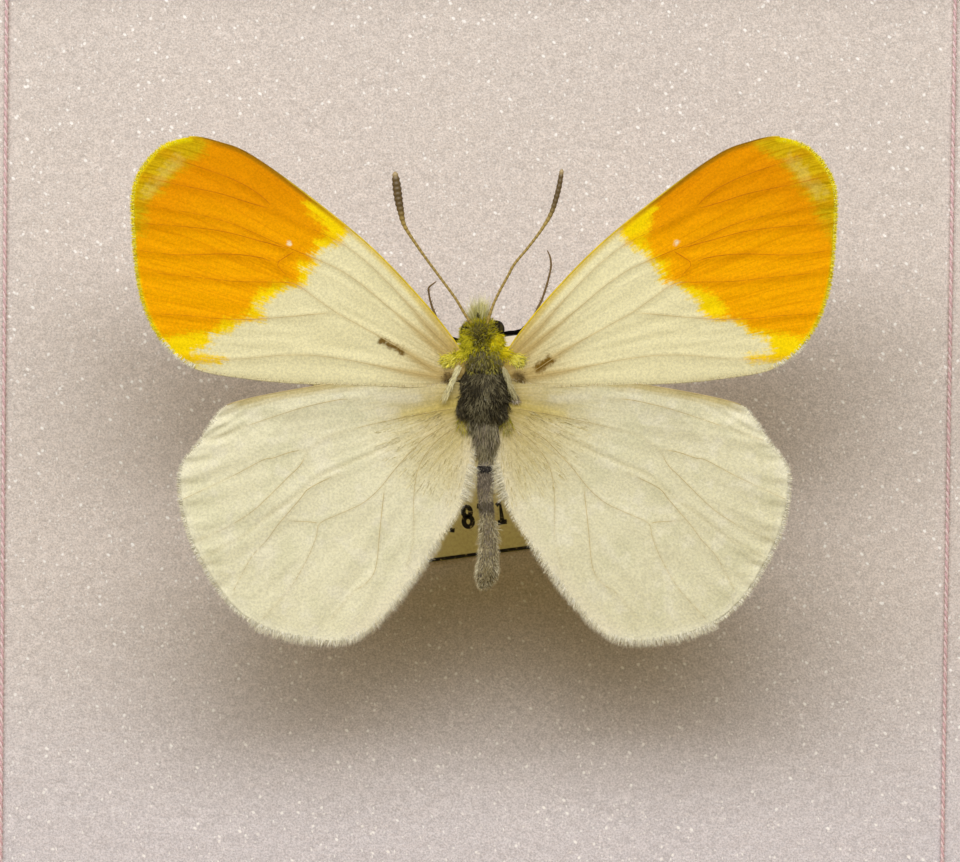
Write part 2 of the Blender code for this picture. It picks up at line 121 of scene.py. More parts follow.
# %% [markdown]
# ## Light
#
# The picture was lit like a table under a long tube light that hangs a little behind it. The shadow
# tells so: it lies well in front of the wings, it is sharper from front to back than from side to
# side, and the gap between the hindwings leaves no bright patch in it. So the key lamp is a long flat
# ellipse that hangs level. Its place and size are given as slopes from the middle of the foam, across
# and back, which stay right at any height. A weak warm sky fills the shadows, and a second weak lamp
# in front lights the front board.

# %% Light and floor
LAMP_RISE = 420 * MM
LAMP_SLOPE = (-0.125, 0.645)
LAMP_REACH = (0.95, 0.25)
KEY_POWER = 3.48
FILL_POWER = 0.22
SKY_COLOUR = (1.0, 0.87, 0.28)
SKY_STRENGTH = 0.163
FRONT_LAMP_PLACE = Vector((-0.25, -0.5, 0.3))
FRONT_LAMP_SIZE = (0.3, 0.3)
FLOOR_SIZE = 4


def lamp(name, place, size, power, colour):
    """A flat elliptical lamp that faces down."""
    data = bpy.data.lights.new(name, "AREA")
    data.shape = "ELLIPSE"
    data.size, data.size_y = size
    data.energy = power
    data.color = colour
    made = linked(name, data)
    made.location = place
    return made


stage_middle = Vector((0, PLACE_Y * MM, FOAM_TOP))
key_place = stage_middle + Vector((*LAMP_SLOPE, 1)) * LAMP_RISE
key_size = [2 * reach * LAMP_RISE for reach in LAMP_REACH]
lamp("key_lamp", key_place, key_size, KEY_POWER, (0.99, 0.975, 1.0))
front = lamp("front_lamp", FRONT_LAMP_PLACE, FRONT_LAMP_SIZE, FILL_POWER, (1.0, 0.95, 0.9))
front.rotation_mode = "QUATERNION"
front.rotation_quaternion = (stage_middle - front.location).to_track_quat("-Z", "Y")

sky = bpy.data.worlds.new("soft_sky")
sky.use_nodes = True
sky.node_tree.nodes["Background"].inputs["Color"].default_value = (*SKY_COLOUR, 1)
sky.node_tree.nodes["Background"].inputs["Strength"].default_value = SKY_STRENGTH
bpy.context.scene.world = sky
bpy.context.scene.view_settings.view_transform = "Standard"

bpy.ops.mesh.primitive_plane_add(size=FLOOR_SIZE, location=(0, 0, 0))
floor = bpy.context.object
floor.name = "pale_floor"
floor_finish = bpy.data.materials.new("pale_floor")
floor_finish.use_nodes = True
floor_shader = floor_finish.node_tree.nodes["Principled BSDF"]
floor_shader.inputs["Base Color"].default_value = (0.72, 0.71, 0.69, 1)
floor_shader.inputs["Roughness"].default_value = 0.85
floor.data.materials.append(floor_finish)
floor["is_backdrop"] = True

# %% [markdown]
# ## Working in edit mode
#
# An operator works on all that is selected, and loading the frame leaves every solid selected. So
# each step starts with nothing selected, and picks the piece or the edges that it needs.

# %% Helpers for shaping
def only(first, *others):
    """Selects these objects alone and makes the first the active one."""
    bpy.ops.object.select_all(action="DESELECT")
    for piece in (first, *others):
        piece.select_set(True)
    bpy.context.view_layer.objects.active = first


def pick_edges(piece, test):
    """Selects the edges that pass the test, and nothing else."""
    mesh = bmesh.from_edit_mesh(piece.data)
    for group in (mesh.verts, mesh.edges, mesh.faces):
        for part in group:
            part.select = False
    for edge in mesh.edges:
        if test(edge):
            edge.select_set(True)
    mesh.select_flush_mode()
    bmesh.update_edit_mesh(piece.data)


def modify(piece, kind, **settings):
    """Adds a modifier and applies it."""
    only(piece)
    made = piece.modifiers.new(kind.lower(), kind)
    for key, value in settings.items():
        setattr(made, key, value)
    bpy.ops.object.modifier_apply(modifier=made.name)


def settle(piece):
    """Puts the object at the origin, unturned and unscaled, and its place in its mesh."""
    only(piece)
    bpy.ops.object.transform_apply(location=True, rotation=True, scale=True)


def face_out(piece):
    """Merges doubles, then points every face outwards."""
    only(piece)
    bpy.ops.object.mode_set(mode="EDIT")
    bpy.ops.mesh.select_all(action="SELECT")
    bpy.ops.mesh.remove_doubles(threshold=0.002 * MM)
    bpy.ops.mesh.normals_make_consistent(inside=False)
    bpy.ops.object.mode_set(mode="OBJECT")


def coat_with(piece, material):
    """Gives a piece one material in place of any other."""
    piece.data.materials.clear()
    piece.data.materials.append(material)


def place_piece(piece, name, material, slot, *stands_for):
    """Names a finished piece, gives it its material and says which solids it stands for."""
    piece.name = name
    piece.data.name = name
    coat_with(piece, material)
    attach(piece, "root")
    if stands_for:
        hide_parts(*stands_for)
    triangles = sum(len(face.vertices) - 2 for face in piece.data.polygons)
    print(f"{name}: {triangles} triangles")


def dress(piece, name, material):
    """Places a piece that stands for the butterfly's solid, together with the others."""
    place_piece(piece, name, material, "butterfly", "butterfly")


def smooth_line(points, steps=8):
    """A smooth curve through all the points, as a longer list of points."""
    points = np.array(points, float)
    ends = np.vstack((2 * points[0] - points[1], points, 2 * points[-1] - points[-2]))
    line = []
    for a, b, c, d in zip(ends[:-3], ends[1:-2], ends[2:-1], ends[3:]):
        for share in np.arange(steps) / steps:
            pull_back = 2 * a - 5 * b + 4 * c - d
            pull_on = 3 * b - a - 3 * c + d
            line.append(b + ((c - a) * share + pull_back * share ** 2 + pull_on * share ** 3) / 2)
    line.append(points[-1])
    return np.array(line)


def length_of(line):
    return np.linalg.norm(np.diff(line, axis=0), axis=1).sum()


def spaced(line, shares):
    """Points at the given shares of a line's length."""
    steps = np.linalg.norm(np.diff(line, axis=0), axis=1)
    gone = np.concatenate(((0,), np.cumsum(steps)))
    wanted = np.asarray(shares) * gone[-1]
    return np.column_stack([np.interp(wanted, gone, line[:, axis]) for axis in range(line.shape[1])])


# %% [markdown]
# ## Finishes
#
# A material here is a small tree of nodes round one shader. The helper below only shortens the
# writing of such trees. Patterns are measured in millimetres, on Object coordinates or on values that
# the mesh carries, so they stay where they are on the piece from every side.

# %% Helper for finishes
class Finish:
    """A material put together from nodes, with sizes in metres."""

    def __init__(self, name):
        self.material = bpy.data.materials.new(name)
        self.material.use_nodes = True
        self.tree = self.material.node_tree
        self.shader = self.tree.nodes["Principled BSDF"]
        self.place = self.node("TexCoord")["Object"]

    def feed(self, socket, value):
        if isinstance(value, bpy.types.NodeSocket):
            self.tree.links.new(value, socket)
        elif hasattr(value, "__len__") and len(value) == 3 and len(socket.default_value) == 4:
            socket.default_value = (*value, 1)
        else:
            socket.default_value = value

    def node(self, kind, sockets=(), **settings):
        """The outputs of a new node, with its settings and with what goes into its sockets."""
        made = self.tree.nodes.new("ShaderNode" + kind)
        for key, value in settings.items():
            setattr(made, key, value)
        for key, value in dict(sockets).items():
            self.feed(made.inputs[key], value)
        return made.outputs

    def math(self, operation, *values):
        return self.node("Math", enumerate(values), operation=operation)[0]

    def times(self, first, second):
        return self.math("MULTIPLY", first, second)

    def plus(self, first, second):
        return self.math("ADD", first, second)

    def vector(self, operation, *values):
        """A sum on vectors, whose outputs are a vector and a number."""
        return self.node("VectorMath", enumerate(values), operation=operation)

    def part(self, vector, axis):
        return self.node("SeparateXYZ", {0: vector})[axis]

    def step(self, value, low, high, start=0.0, end=1.0):
        """A smooth step from start to end while the value goes from low to high."""
        sockets = {"Value": value, "From Min": low, "From Max": high, "To Min": start, "To Max": end}
        return self.node("MapRange", sockets, interpolation_type="SMOOTHSTEP")["Result"]

    def mix(self, share, first, second, way="MIX"):
        sockets = {0: share, 6: first, 7: second}
        return self.node("Mix", sockets, data_type="RGBA", blend_type=way)[2]

    def lay(self, below, tint, value, near, far, strength):
        """A tint over a colour: at its strength where the value is under near, and gone at far."""
        return self.mix(self.step(value, near, far, strength, 0.0), below, tint)

    def value(self, name, output="Fac"):
        """A number that the mesh carries at its points."""
        return self.node("Attribute", attribute_name=name)[output]

    def colour(self, name):
        """A colour that the mesh carries at its points."""
        return self.value(name, "Color")

    def uneven(self, name, grain, share):
        """A number of the mesh with a share of a grain added, so that its border is broken up."""
        return self.plus(self.value(name), self.times(grain, share))

    def stretched(self, scale, turn=(0, 0, 0), at=None):
        sockets = {"Vector": at or self.place, "Scale": scale, "Rotation": turn}
        return self.node("Mapping", sockets)["Vector"]

    def noise(self, size, detail=2.0, rough=0.5, at=None, output="Fac"):
        sockets = {"Vector": at or self.place, "Scale": 1 / size, "Detail": detail, "Roughness": rough}
        return self.node("TexNoise", sockets)[output]

    def cells(self, size, output="Distance", at=None):
        return self.node("TexVoronoi", {"Vector": at or self.place, "Scale": 1 / size})[output]

    def bump(self, height, depth, strength):
        """Relief in metres that is too fine for the mesh."""
        return self.node("Bump", {"Strength": strength, "Distance": depth, "Height": height})["Normal"]

    def surface(self, **values):
        """Sets or links the shader's sockets, with _ for each space in their names."""
        for key, given in values.items():
            self.feed(self.shader.inputs[key.replace("_", " ")], given)
        return self.material


# %% [markdown]
# ## Wood
#
# The walls are a pale hardwood, waxed to a satin sheen. A board is cut from a log, so its pattern is
# one solid thing: yearly rings round a pith that runs along the board. Where the surface cuts them
# lengthwise they are long streaks, and on end grain they are arcs. The pattern is therefore built as
# rings round an axis beside each board, bent a little by slow noise, and the tails' end grain at the
# corners comes by itself. Front and back run along X, and the sides along Y.

# %% Wood finish
RING_WIDTH = 2.6 * MM
RING_DRIFT = 5 * MM


def wood_finish(name, along, pith):
    wood = Finish(name)
    squeeze, fibre_squeeze = (
        [share if axis == along else 1.0 for axis in range(3)] for share in (0.12, 0.03)
    )
    board = wood.stretched(squeeze)
    drift = wood.noise(14 * MM, 2, at=board, output="Color")
    shifted = wood.vector("MULTIPLY_ADD", drift, (RING_DRIFT,) * 3, wood.place)[0]
    across = [axis for axis in range(3) if axis != along]
    apart = [wood.math("SUBTRACT", wood.part(shifted, axis), pith[axis]) for axis in across]
    squares = [wood.math("POWER", wood.math("ABSOLUTE", value), 2) for value in apart]
    reach = wood.math("SQRT", wood.plus(*squares))
    ring = wood.math("FRACT", wood.math("DIVIDE", reach, RING_WIDTH))
    late = wood.math("POWER", ring, 3)
    fibre = wood.noise(0.35 * MM, 3, 0.6, at=wood.stretched(fibre_squeeze))
    pores = wood.step(wood.noise(0.22 * MM, 1, 0.5, at=wood.stretched(fibre_squeeze)), 0.62, 0.74)
    broad = wood.noise(30 * MM, 2, at=board)
    pale = wood.mix(broad, (0.50, 0.32, 0.165), (0.60, 0.405, 0.225))
    ringed = wood.mix(wood.times(late, 0.55), pale, (0.33, 0.18, 0.078))
    streaked = wood.mix(wood.step(fibre, 0.35, 0.75, 0.0, 0.35), ringed, (0.38, 0.22, 0.10))
    flecked = wood.mix(wood.times(pores, 0.4), streaked, (0.17, 0.09, 0.04))
    height = wood.math("SUBTRACT", wood.times(fibre, 0.5), pores)
    gloss = wood.step(fibre, 0.3, 0.8, 0.38, 0.55)
    return wood.surface(
        Base_Color=flecked, Roughness=gloss, Coat_Weight=0.15, Coat_Roughness=0.35,
        Normal=wood.bump(height, 0.03 * MM, 0.5),
    )


wood_along_x = wood_finish("hardwood_along_x", 0, (0, 8 * MM, -22 * MM))
wood_along_y = wood_finish("hardwood_along_y", 1, (-14 * MM, 0, -30 * MM))
board_wood = {
    "front_board": wood_along_x,
    "back_board": wood_along_x,
    "side_board_left": wood_along_y,
    "side_board_right": wood_along_y,
}
for name, material in board_wood.items():
    coat_with(nodes[name], material)
print("boards:", ", ".join(board_wood))

# %% [markdown]
# ## Bottom panel
#
# The panel under the foam is thin bare board. It is unwaxed, so it is paler and matt, and its long
# lazy figure is wider than that of the walls.

# %% Bottom panel finish
def bare_board_finish():
    board = Finish("bare_bottom_board")
    long_way = board.stretched((0.08, 1, 1))
    figure = board.noise(9 * MM, 4, 0.55, at=long_way)
    bands = board.math("FRACT", board.times(figure, 9))
    fibre = board.noise(0.4 * MM, 3, 0.65, at=board.stretched((0.03, 1, 1)))
    pale = board.mix(board.step(bands, 0.1, 0.95), (0.60, 0.44, 0.27), (0.47, 0.31, 0.17))
    streaked = board.mix(board.step(fibre, 0.4, 0.75, 0, 0.4), pale, (0.36, 0.22, 0.12))
    return board.surface(
        Base_Color=streaked, Roughness=0.72, Normal=board.bump(fibre, 0.04 * MM, 0.6),
    )


coat_with(nodes["bottom_panel"], bare_board_finish())

# %% [markdown]
# ## Pull
#
# The pull is turned from the same wood. On a lathe the profile is cut while the work spins, and the
# Spin operator does the same: one line of points is swept round the axis. The fine points of the
# profile come from a smooth curve through the turner's few marks.

# %% Pull
PULL_MARKS = (
    (0.0, 11.0), (2.4, 10.8), (4.3, 10.0), (5.3, 8.6), (5.35, 7.2), (4.4, 5.2), (3.1, 3.6),
    (2.6, 2.5), (2.8, 1.5),
)
PULL_BEAD = ((3.45, 1.08), (3.66, 0.85), (3.7, 0.55), (3.66, 0.3), (3.5, 0.2), (0.0, 0.2))


def turned_piece(profile, place, turn=(0, 0, 0), steps=48):
    """Spins (radius, height) points in mm about their own axis, and puts the result in its place."""
    bpy.ops.mesh.primitive_plane_add(size=1, location=(0, 0, 0))
    piece = bpy.context.object
    points = [(radius * MM, 0, height * MM) for radius, height in profile]
    piece.data.clear_geometry()
    piece.data.from_pydata(points, [(i, i + 1) for i in range(len(points) - 1)], [])
    only(piece)
    bpy.ops.object.mode_set(mode="EDIT")
    bpy.ops.mesh.select_all(action="SELECT")
    bpy.ops.mesh.spin(steps=steps, angle=2 * math.pi, center=(0, 0, 0), axis=(0, 0, 1))
    bpy.ops.object.mode_set(mode="OBJECT")
    face_out(piece)
    piece.location = place
    piece.rotation_euler = turn
    settle(piece)
    bpy.ops.object.shade_smooth_by_angle(angle=math.radians(40))
    return piece


pull_profile = [tuple(point) for point in smooth_line(PULL_MARKS, 6)] + list(PULL_BEAD)
pull_profile[0] = (0.0, 11.0)
front_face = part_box("front_board")[0].y
drawer_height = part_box("front_board")[1].z
pull = turned_piece(pull_profile, (0, front_face, drawer_height / 2), (math.pi / 2, 0, 0), 64)
wood_round_pull = wood_finish("hardwood_pull", 1, (9 * MM, 0, 4 * MM))
place_piece(pull, "turned_pull", wood_round_pull, "wood", "pull")

# %% [markdown]
# ## Foam floor
#
# The floor is fine closed-cell foam. Its skin is a little uneven, and the cut cells make a grain of
# about half a millimetre with many tiny glints, painted as near-white spots. The unevenness is real
# relief: a dense grid is added at the foam's size, its points are raised and lowered by a hair, and its
# rim is extruded down to the foam's underside. The grain and the painted glints are far smaller and
# stay in the finish, and so does a painted tone of the light: darker and cooler towards the front,
# warmer towards the back. Every pin stands in a small dent, and one hole is empty; its dark inside is
# painted shade.

# %% Foam floor
FOAM_CUTS = (280, 198)
OLD_PIN_HOLE = Vector((27.5, PLACE_Y + 14.1)) * MM
HOLE_DEPTH, HOLE_REACH = 0.2, 0.15
DENT_DEPTH, DENT_REACH = 0.22, 0.45
PIN_FROM_MIDDLE = (0.17, -0.48)
foam_size = FOAM_HIGH - FOAM_LOW
bpy.ops.mesh.primitive_grid_add(
    x_subdivisions=FOAM_CUTS[0], y_subdivisions=FOAM_CUTS[1], size=1,
    location=((FOAM_LOW.x + FOAM_HIGH.x) / 2, (FOAM_LOW.y + FOAM_HIGH.y) / 2, FOAM_TOP),
)
foam = bpy.context.object
foam.scale = (foam_size.x, foam_size.y, 1)
settle(foam)

bpy.ops.object.mode_set(mode="EDIT")
pick_edges(foam, lambda edge: edge.is_boundary)
bpy.ops.mesh.extrude_region_move(TRANSFORM_OT_translate={"value": (0, 0, -foam_size.z)})
bpy.ops.mesh.edge_face_add()
bpy.ops.object.mode_set(mode="OBJECT")

PIN_PLACES = [(SPECIMEN.x + PIN_FROM_MIDDLE[0] * MM, SPECIMEN.y + PIN_FROM_MIDDLE[1] * MM)]
PIN_PLACES += [middle_of(name) for name in nodes if name.startswith("thread_pin")]


def foam_relief(x, y):
    """Height of the foam's skin, in metres, at a place on it."""
    spot = Vector((x, y, 0)) / MM
    height = 0.035 * noise.noise(spot / 0.9) + 0.03 * noise.noise(spot / 2.7) - 0.03
    for pin_x, pin_y in PIN_PLACES:
        gap = math.hypot(x - pin_x, y - pin_y) / MM
        height -= DENT_DEPTH * math.exp(-(gap / DENT_REACH) ** 2)
    gap = math.hypot(x - OLD_PIN_HOLE.x, y - OLD_PIN_HOLE.y) / MM
    return (height - HOLE_DEPTH * math.exp(-(gap / HOLE_REACH) ** 2)) * MM


for vert in foam.data.vertices:
    if vert.co.z > FOAM_TOP - 1 * MM:
        vert.co.z += foam_relief(vert.co.x, vert.co.y)
face_out(foam)


def painted_foam_glints(foam, size, slant, long, chance, bright):
    """Painted glints for cut cell walls that catch the light: near-white spots in the base colour, small,
    drawn out along a slant, and scattered.
    """
    turned = foam.stretched((1, 1, 1), turn=(0, 0, math.radians(slant)))
    way = foam.stretched((1, long, 1), at=turned)
    luck = foam.part(foam.cells(size, output="Color", at=way), 0)
    shown = foam.step(luck, 1 - chance, 1.06 - chance, 0.0, bright)
    return foam.times(foam.step(foam.cells(size, at=way), 0.1, 0.24, 1.0, 0.0), shown)


PAINTED_GLINTS = (
    # size in mm, slant in degrees, length for its width, share of the cells that shine, brightness
    (0.74, 38, 1.5, 0.22, 1.0), (0.62, -52, 1.2, 0.2, 0.9), (0.58, 78, 2.0, 0.24, 0.75),
    (0.50, -12, 1.4, 0.3, 0.6), (0.40, 20, 1.6, 0.4, 0.42), (0.36, -70, 1.3, 0.36, 0.36),
)


def foam_finish():
    foam = Finish("fine_foam")
    blotch = foam.noise(9 * MM, 3)
    grain = foam.noise(0.12 * MM, 2, 0.75)
    cell = foam.cells(0.36 * MM)
    base = foam.mix(blotch, (0.668, 0.629, 0.633), (0.714, 0.668, 0.66))
    # Painted light: the foam is made a little darker and cooler towards the front and warmer towards the
    # back.
    aged = foam.step(foam.part(foam.place, 1), -33 * MM, -12 * MM)
    base = foam.mix(1.0, base, foam.mix(aged, (0.955, 0.98, 1.02), (0.99, 0.962, 0.905)), "MULTIPLY")
    patchy = foam.mix(1.0, base, foam.step(foam.noise(0.55 * MM, 2), 0.3, 0.7, 0.95, 1.05), "MULTIPLY")
    raised = foam.mix(1.0, patchy, foam.step(grain, 0.25, 0.75, 0.76, 1.22), "MULTIPLY")
    # Painted highlights: the glints are near-white spots in the base colour, with less roughness.
    painted_glint = 0.0
    for size, *rest in PAINTED_GLINTS:
        painted_glint = foam.math("MAXIMUM", painted_glint, painted_foam_glints(foam, size * MM, *rest))
    with_painted_glints = foam.mix(painted_glint, raised, (1.0, 0.99, 0.97))
    # Painted shade: the inside of the empty pin hole is painted dark.
    hole = foam.vector("DISTANCE", foam.place, (OLD_PIN_HOLE.x, OLD_PIN_HOLE.y, FOAM_TOP - HOLE_DEPTH * MM))
    hole_shade = foam.step(hole["Value"], 0.08 * MM, 0.2 * MM, 1.0, 0.0)
    with_hole_shade = foam.mix(hole_shade, with_painted_glints, (0.075, 0.045, 0.04))
    height = foam.plus(foam.times(cell, -0.5), grain)
    return foam.surface(
        Base_Color=with_hole_shade, Roughness=foam.step(painted_glint, 0, 1, 0.85, 0.35), Specular_IOR_Level=0.2,
        Normal=foam.bump(height, 0.06 * MM, 0.6),
    )


place_piece(foam, "foam_floor", foam_finish(), "foam", "foam_bed")

# %% [markdown]
# ## Data card
#
# The card is thin and pale cream, and lies a little turned on the foam. It starts as a cube at
# the card's size, whose upright corners are bevelled first and whose edges are softened after that.
# Its colour holds painted light: under the wings it is painted a strong yellow for the yellow light
# that comes through the wings, and only its back edge, which the lamp reaches, keeps its pale cream.

# %% Data card
CARD_TURN = math.radians(7.56)
CARD_WIDE = 20.0
CARD_DEEP = 13.6
CARD_THICK = 0.25
CARD_MIDDLE = Vector((0.19, PLACE_Y - 0.91, 0)) * MM


def lay_on_card(piece, x, y, lift=0.0):
    """Moves a piece from the card's own x and y, in mm, to its place on the turned card."""
    piece.matrix_world = (
        Matrix.Translation(CARD_MIDDLE + Vector((0, 0, CARD_TOP + lift * MM)))
        @ Matrix.Rotation(CARD_TURN, 4, "Z")
        @ Matrix.Translation((x * MM, y * MM, 0))
        @ piece.matrix_world
    )
    settle(piece)


bpy.ops.mesh.primitive_cube_add(size=1, location=(0, 0, -CARD_THICK / 2 * MM))
card = bpy.context.object
card.scale = (CARD_WIDE * MM, CARD_DEEP * MM, CARD_THICK * MM)
settle(card)
bpy.ops.object.mode_set(mode="EDIT")
pick_edges(card, lambda edge: abs(edge.verts[0].co.z - edge.verts[1].co.z) > 0.1 * MM)
bpy.ops.mesh.bevel(offset=0.25 * MM, segments=4)
bpy.ops.object.mode_set(mode="OBJECT")
modify(card, "BEVEL", width=0.04 * MM, segments=2, limit_method="ANGLE", angle_limit=math.radians(60))
lay_on_card(card, 0, 0)


def card_finish():
    card = Finish("aged_card")
    fibre = card.noise(0.18 * MM, 4, 0.7)
    stain = card.noise(4 * MM, 3)
    # Painted light: under the wings the card is painted a strong yellow for the light that comes through the
    # wings; only its back edge, which the lamp reaches, keeps its own pale cream.
    back_edge = card.step(card.part(card.place, 1), (PLACE_Y + 3) * MM, (PLACE_Y + 5) * MM)
    aged = card.mix(stain, (0.97, 0.90, 0.47), (0.99, 0.94, 0.53))
    aged = card.mix(back_edge, aged, (0.86, 0.79, 0.66))
    fibred = card.mix(card.step(fibre, 0.4, 0.66, 0, 0.5), aged, (0.70, 0.61, 0.28))
    return card.surface(
        Base_Color=fibred, Roughness=0.85, Specular_IOR_Level=0.2, Normal=card.bump(fibre, 0.02 * MM, 0.5),
    )


place_piece(card, "data_card_with_painted_light", card_finish(), "card", "data_card")

# %% [markdown]
# ## Print on the card
#
# Letterpress print is a thin raised layer of black ink. Plain digits stand where the print shows
# between the wings. Each digit is drawn with a round pen, as a curve with a bevel, and pressed flat.
# Slab feet end its strokes, as on old type. The two rules right along the card's long edges are
# flattened cubes. Where old ink has worn off, the card shows through it.

# %% Print on the card
TYPE_PITCH = 1.04
PEN = 0.15
INK_THICK = 0.02
RULE_LONG = 19.4
RULE_WIDE = 0.2
RULE_Y = 6.66


def arc(centre, radius, start, end, steps=14):
    """Points of an elliptical arc, with its angles in degrees."""
    angles = np.radians(np.linspace(start, end, steps))
    return [(centre[0] + radius[0] * math.cos(a), centre[1] + radius[1] * math.sin(a)) for a in angles]


# Each digit is a list of strokes in a box 0.7 wide and 1.36 high.
DIGITS = {
    "0": [arc((0.35, 0.68), (0.27, 0.62), 0, 360, 28)],
    "1": [[(0.14, 1.12), (0.38, 1.3), (0.38, 0.06)], [(0.1, 0.06), (0.66, 0.06)]],
    "2": [arc((0.35, 0.97), (0.26, 0.33), 160, -40) + [(0.1, 0.06), (0.62, 0.06), (0.62, 0.22)]],
    "4": [[(0.5, 0.06), (0.5, 1.3), (0.08, 0.42), (0.68, 0.42)], [(0.32, 0.06), (0.66, 0.06)]],
    "7": [[(0.1, 1.1), (0.1, 1.3), (0.6, 1.3), (0.3, 0.06)]],
    "8": [arc((0.35, 0.98), (0.23, 0.31), 0, 360, 22), arc((0.35, 0.37), (0.27, 0.32), 0, 360, 24)],
    ",": [[(0.36, 0.1), (0.3, -0.16)]],
}
PRINTED = "204,8717402"
FIRST_DIGIT_X = -6.05
LINE_Y = -4.95


def round_lines(name, routes, thickness, resolution):
    """A round rod along each route of x, y, z and radius points in mm, as one mesh."""
    curve = bpy.data.curves.new(name, "CURVE")
    curve.dimensions = "3D"
    curve.bevel_depth = thickness * MM
    curve.bevel_resolution = resolution
    curve.use_fill_caps = True
    for route in routes:
        spline = curve.splines.new("POLY")
        spline.points.add(len(route) - 1)
        for point, (x, y, z, radius) in zip(spline.points, route):
            point.co = (x * MM, y * MM, z * MM, 1)
            point.radius = radius
    only(linked(name, curve))
    bpy.ops.object.convert(target="MESH")
    return bpy.context.object


def pen_strokes(strokes):
    """Flat ink along the strokes of one digit, given in mm."""
    drawn = round_lines("ink", [[(x, y, 0, 1) for x, y in stroke] for stroke in strokes], PEN, 1)
    drawn.scale = (1, 1, INK_THICK / PEN)
    settle(drawn)
    return drawn


def join(pieces):
    """Joins several meshes into the first one."""
    only(*pieces)
    bpy.ops.object.join()
    return pieces[0]


ink = []
for i, sign in enumerate(PRINTED):
    drawn = pen_strokes(DIGITS[sign])
    lay_on_card(drawn, FIRST_DIGIT_X + i * TYPE_PITCH, LINE_Y)
    ink.append(drawn)
for y in (-RULE_Y, RULE_Y):
    bpy.ops.mesh.primitive_cube_add(size=1)
    rule = bpy.context.object
    rule.scale = (RULE_LONG * MM, RULE_WIDE * MM, 2 * INK_THICK * MM)
    settle(rule)
    bpy.ops.object.mode_set(mode="EDIT")
    bpy.ops.mesh.select_all(action="SELECT")
    bpy.ops.mesh.bevel(offset=0.015 * MM, segments=2)
    bpy.ops.object.mode_set(mode="OBJECT")
    lay_on_card(rule, 0, y)
    ink.append(rule)
print_on_card = join(ink)

ink_finish = Finish("printing_ink")
ink_worn = ink_finish.step(ink_finish.noise(0.22 * MM, 3, 0.7), 0.6, 0.66)
ink_finish.surface(
    Base_Color=ink_finish.mix(ink_worn, (0.012, 0.010, 0.009), (0.55, 0.47, 0.22)), Roughness=0.7,
)
place_piece(print_on_card, "card_print", ink_finish.material, "card")

# %% [markdown]
# ## Threads
#
# Each thread is twisted from a pink and a white strand, runs along the foam from pin to pin and goes
# round the pin at each end. A strand in a rope is a helix round the rope's own line, so the line is
# worked out first, and each strand is a fine tube half a turn away from the other.

# %% Threads
THREAD_RADIUS = 0.13
STRAND_RADIUS = 0.075
TWIST = 0.78
LOOP_RADIUS = 0.55
LOOP_TURN = 340
STRAND_STEPS = 10
THREAD_LEVEL = FOAM_TOP / MM + 0.06 + THREAD_RADIUS


def thread_line(side):
    """The thread's middle line: round the front pin, straight to the back pin, and round that."""
    front, back = (np.array(middle_of(f"thread_pin_{where}_{side}")) / MM for where in ("front", "back"))
    way = (back - front) / np.linalg.norm(back - front)
    beside = np.array((-way[1], way[0]))

    def loop(middle, toward, turns):
        angles = np.radians(np.linspace(0, turns, 28))
        return [middle + LOOP_RADIUS * (math.cos(a) * toward + math.sin(a) * beside) for a in angles]

    start = loop(front, way, -LOOP_TURN)[::-1]
    end = loop(back, -way, LOOP_TURN)
    points = start + [front + (back - front) * share for share in np.linspace(0.03, 0.97, 24)] + end
    return np.column_stack((np.array(points), np.full(len(points), THREAD_LEVEL)))


def strand(line, phase, name):
    """One strand that winds round the line."""
    count = int(length_of(line) / TWIST * STRAND_STEPS)
    middle = spaced(line, np.linspace(0, 1, count))
    way = np.gradient(middle, axis=0)
    way /= np.linalg.norm(way, axis=1)[:, None]
    up = np.array((0.0, 0.0, 1.0))
    beside = np.cross(way, up)
    angle = (phase + 2 * math.pi * np.arange(count) / STRAND_STEPS)[:, None]
    offset = THREAD_RADIUS - STRAND_RADIUS
    route = middle + offset * (np.cos(angle) * beside + np.sin(angle) * up)
    return tube(name, route, np.full(count, STRAND_RADIUS), sides=6)


def tube(name, route, radii, sides=8):
    """A closed tube along points in mm, with a radius at each point, as a mesh."""
    made = round_lines(name, [np.column_stack((route, radii))], 1, max(0, sides // 2 - 2))
    face_out(made)
    return made


def thread_finish(name, low, high):
    thread = Finish(name)
    fibre = thread.noise(0.12 * MM, 3, 0.6)
    return thread.surface(
        Base_Color=thread.mix(fibre, low, high), Roughness=0.85, Sheen_Weight=0.3,
        Normal=thread.bump(fibre, 0.02 * MM, 0.6),
    )


pink = thread_finish("pink_strand", (0.64, 0.40, 0.43), (0.73, 0.51, 0.54))
white = thread_finish("white_strand", (0.75, 0.56, 0.57), (0.83, 0.68, 0.68))
for side in ("left", "right"):
    line = thread_line(side)
    for phase, colour, material in ((0, "pink", pink), (math.pi, "white", white)):
        made = strand(line, phase, f"{colour}_strand_{side}")
        bpy.ops.object.shade_smooth()
        place_piece(made, f"{colour}_strand_{side}", material, "thread", f"thread_{side}")

# %% [markdown]
# ## Thread pins and the specimen's pin
#
# The threads end on short pins with a round white glass head. A little collar of glass runs down the
# shaft where the head was melted on. The butterfly's own pin is finer, and its blunt top is lost in
# the fur of the thorax.

# %% Pins
HEAD_RADIUS = 0.8
SHAFT_RADIUS = 0.25
head_steps = np.radians(np.linspace(0, 158, 16))
head_profile = [(HEAD_RADIUS * math.sin(a), HEAD_RADIUS * math.cos(a)) for a in head_steps]
head_profile[0] = (0.0, HEAD_RADIUS)
head_profile += [(0.27, -0.86), (0.2, -1.02), (0.0, -1.02)]
shaft_profile = [(0.0, -0.7), (SHAFT_RADIUS, -0.72), (SHAFT_RADIUS, -8.6), (0.17, -9.0), (0.0, -9.5)]
HEAD_RISE = 2.5

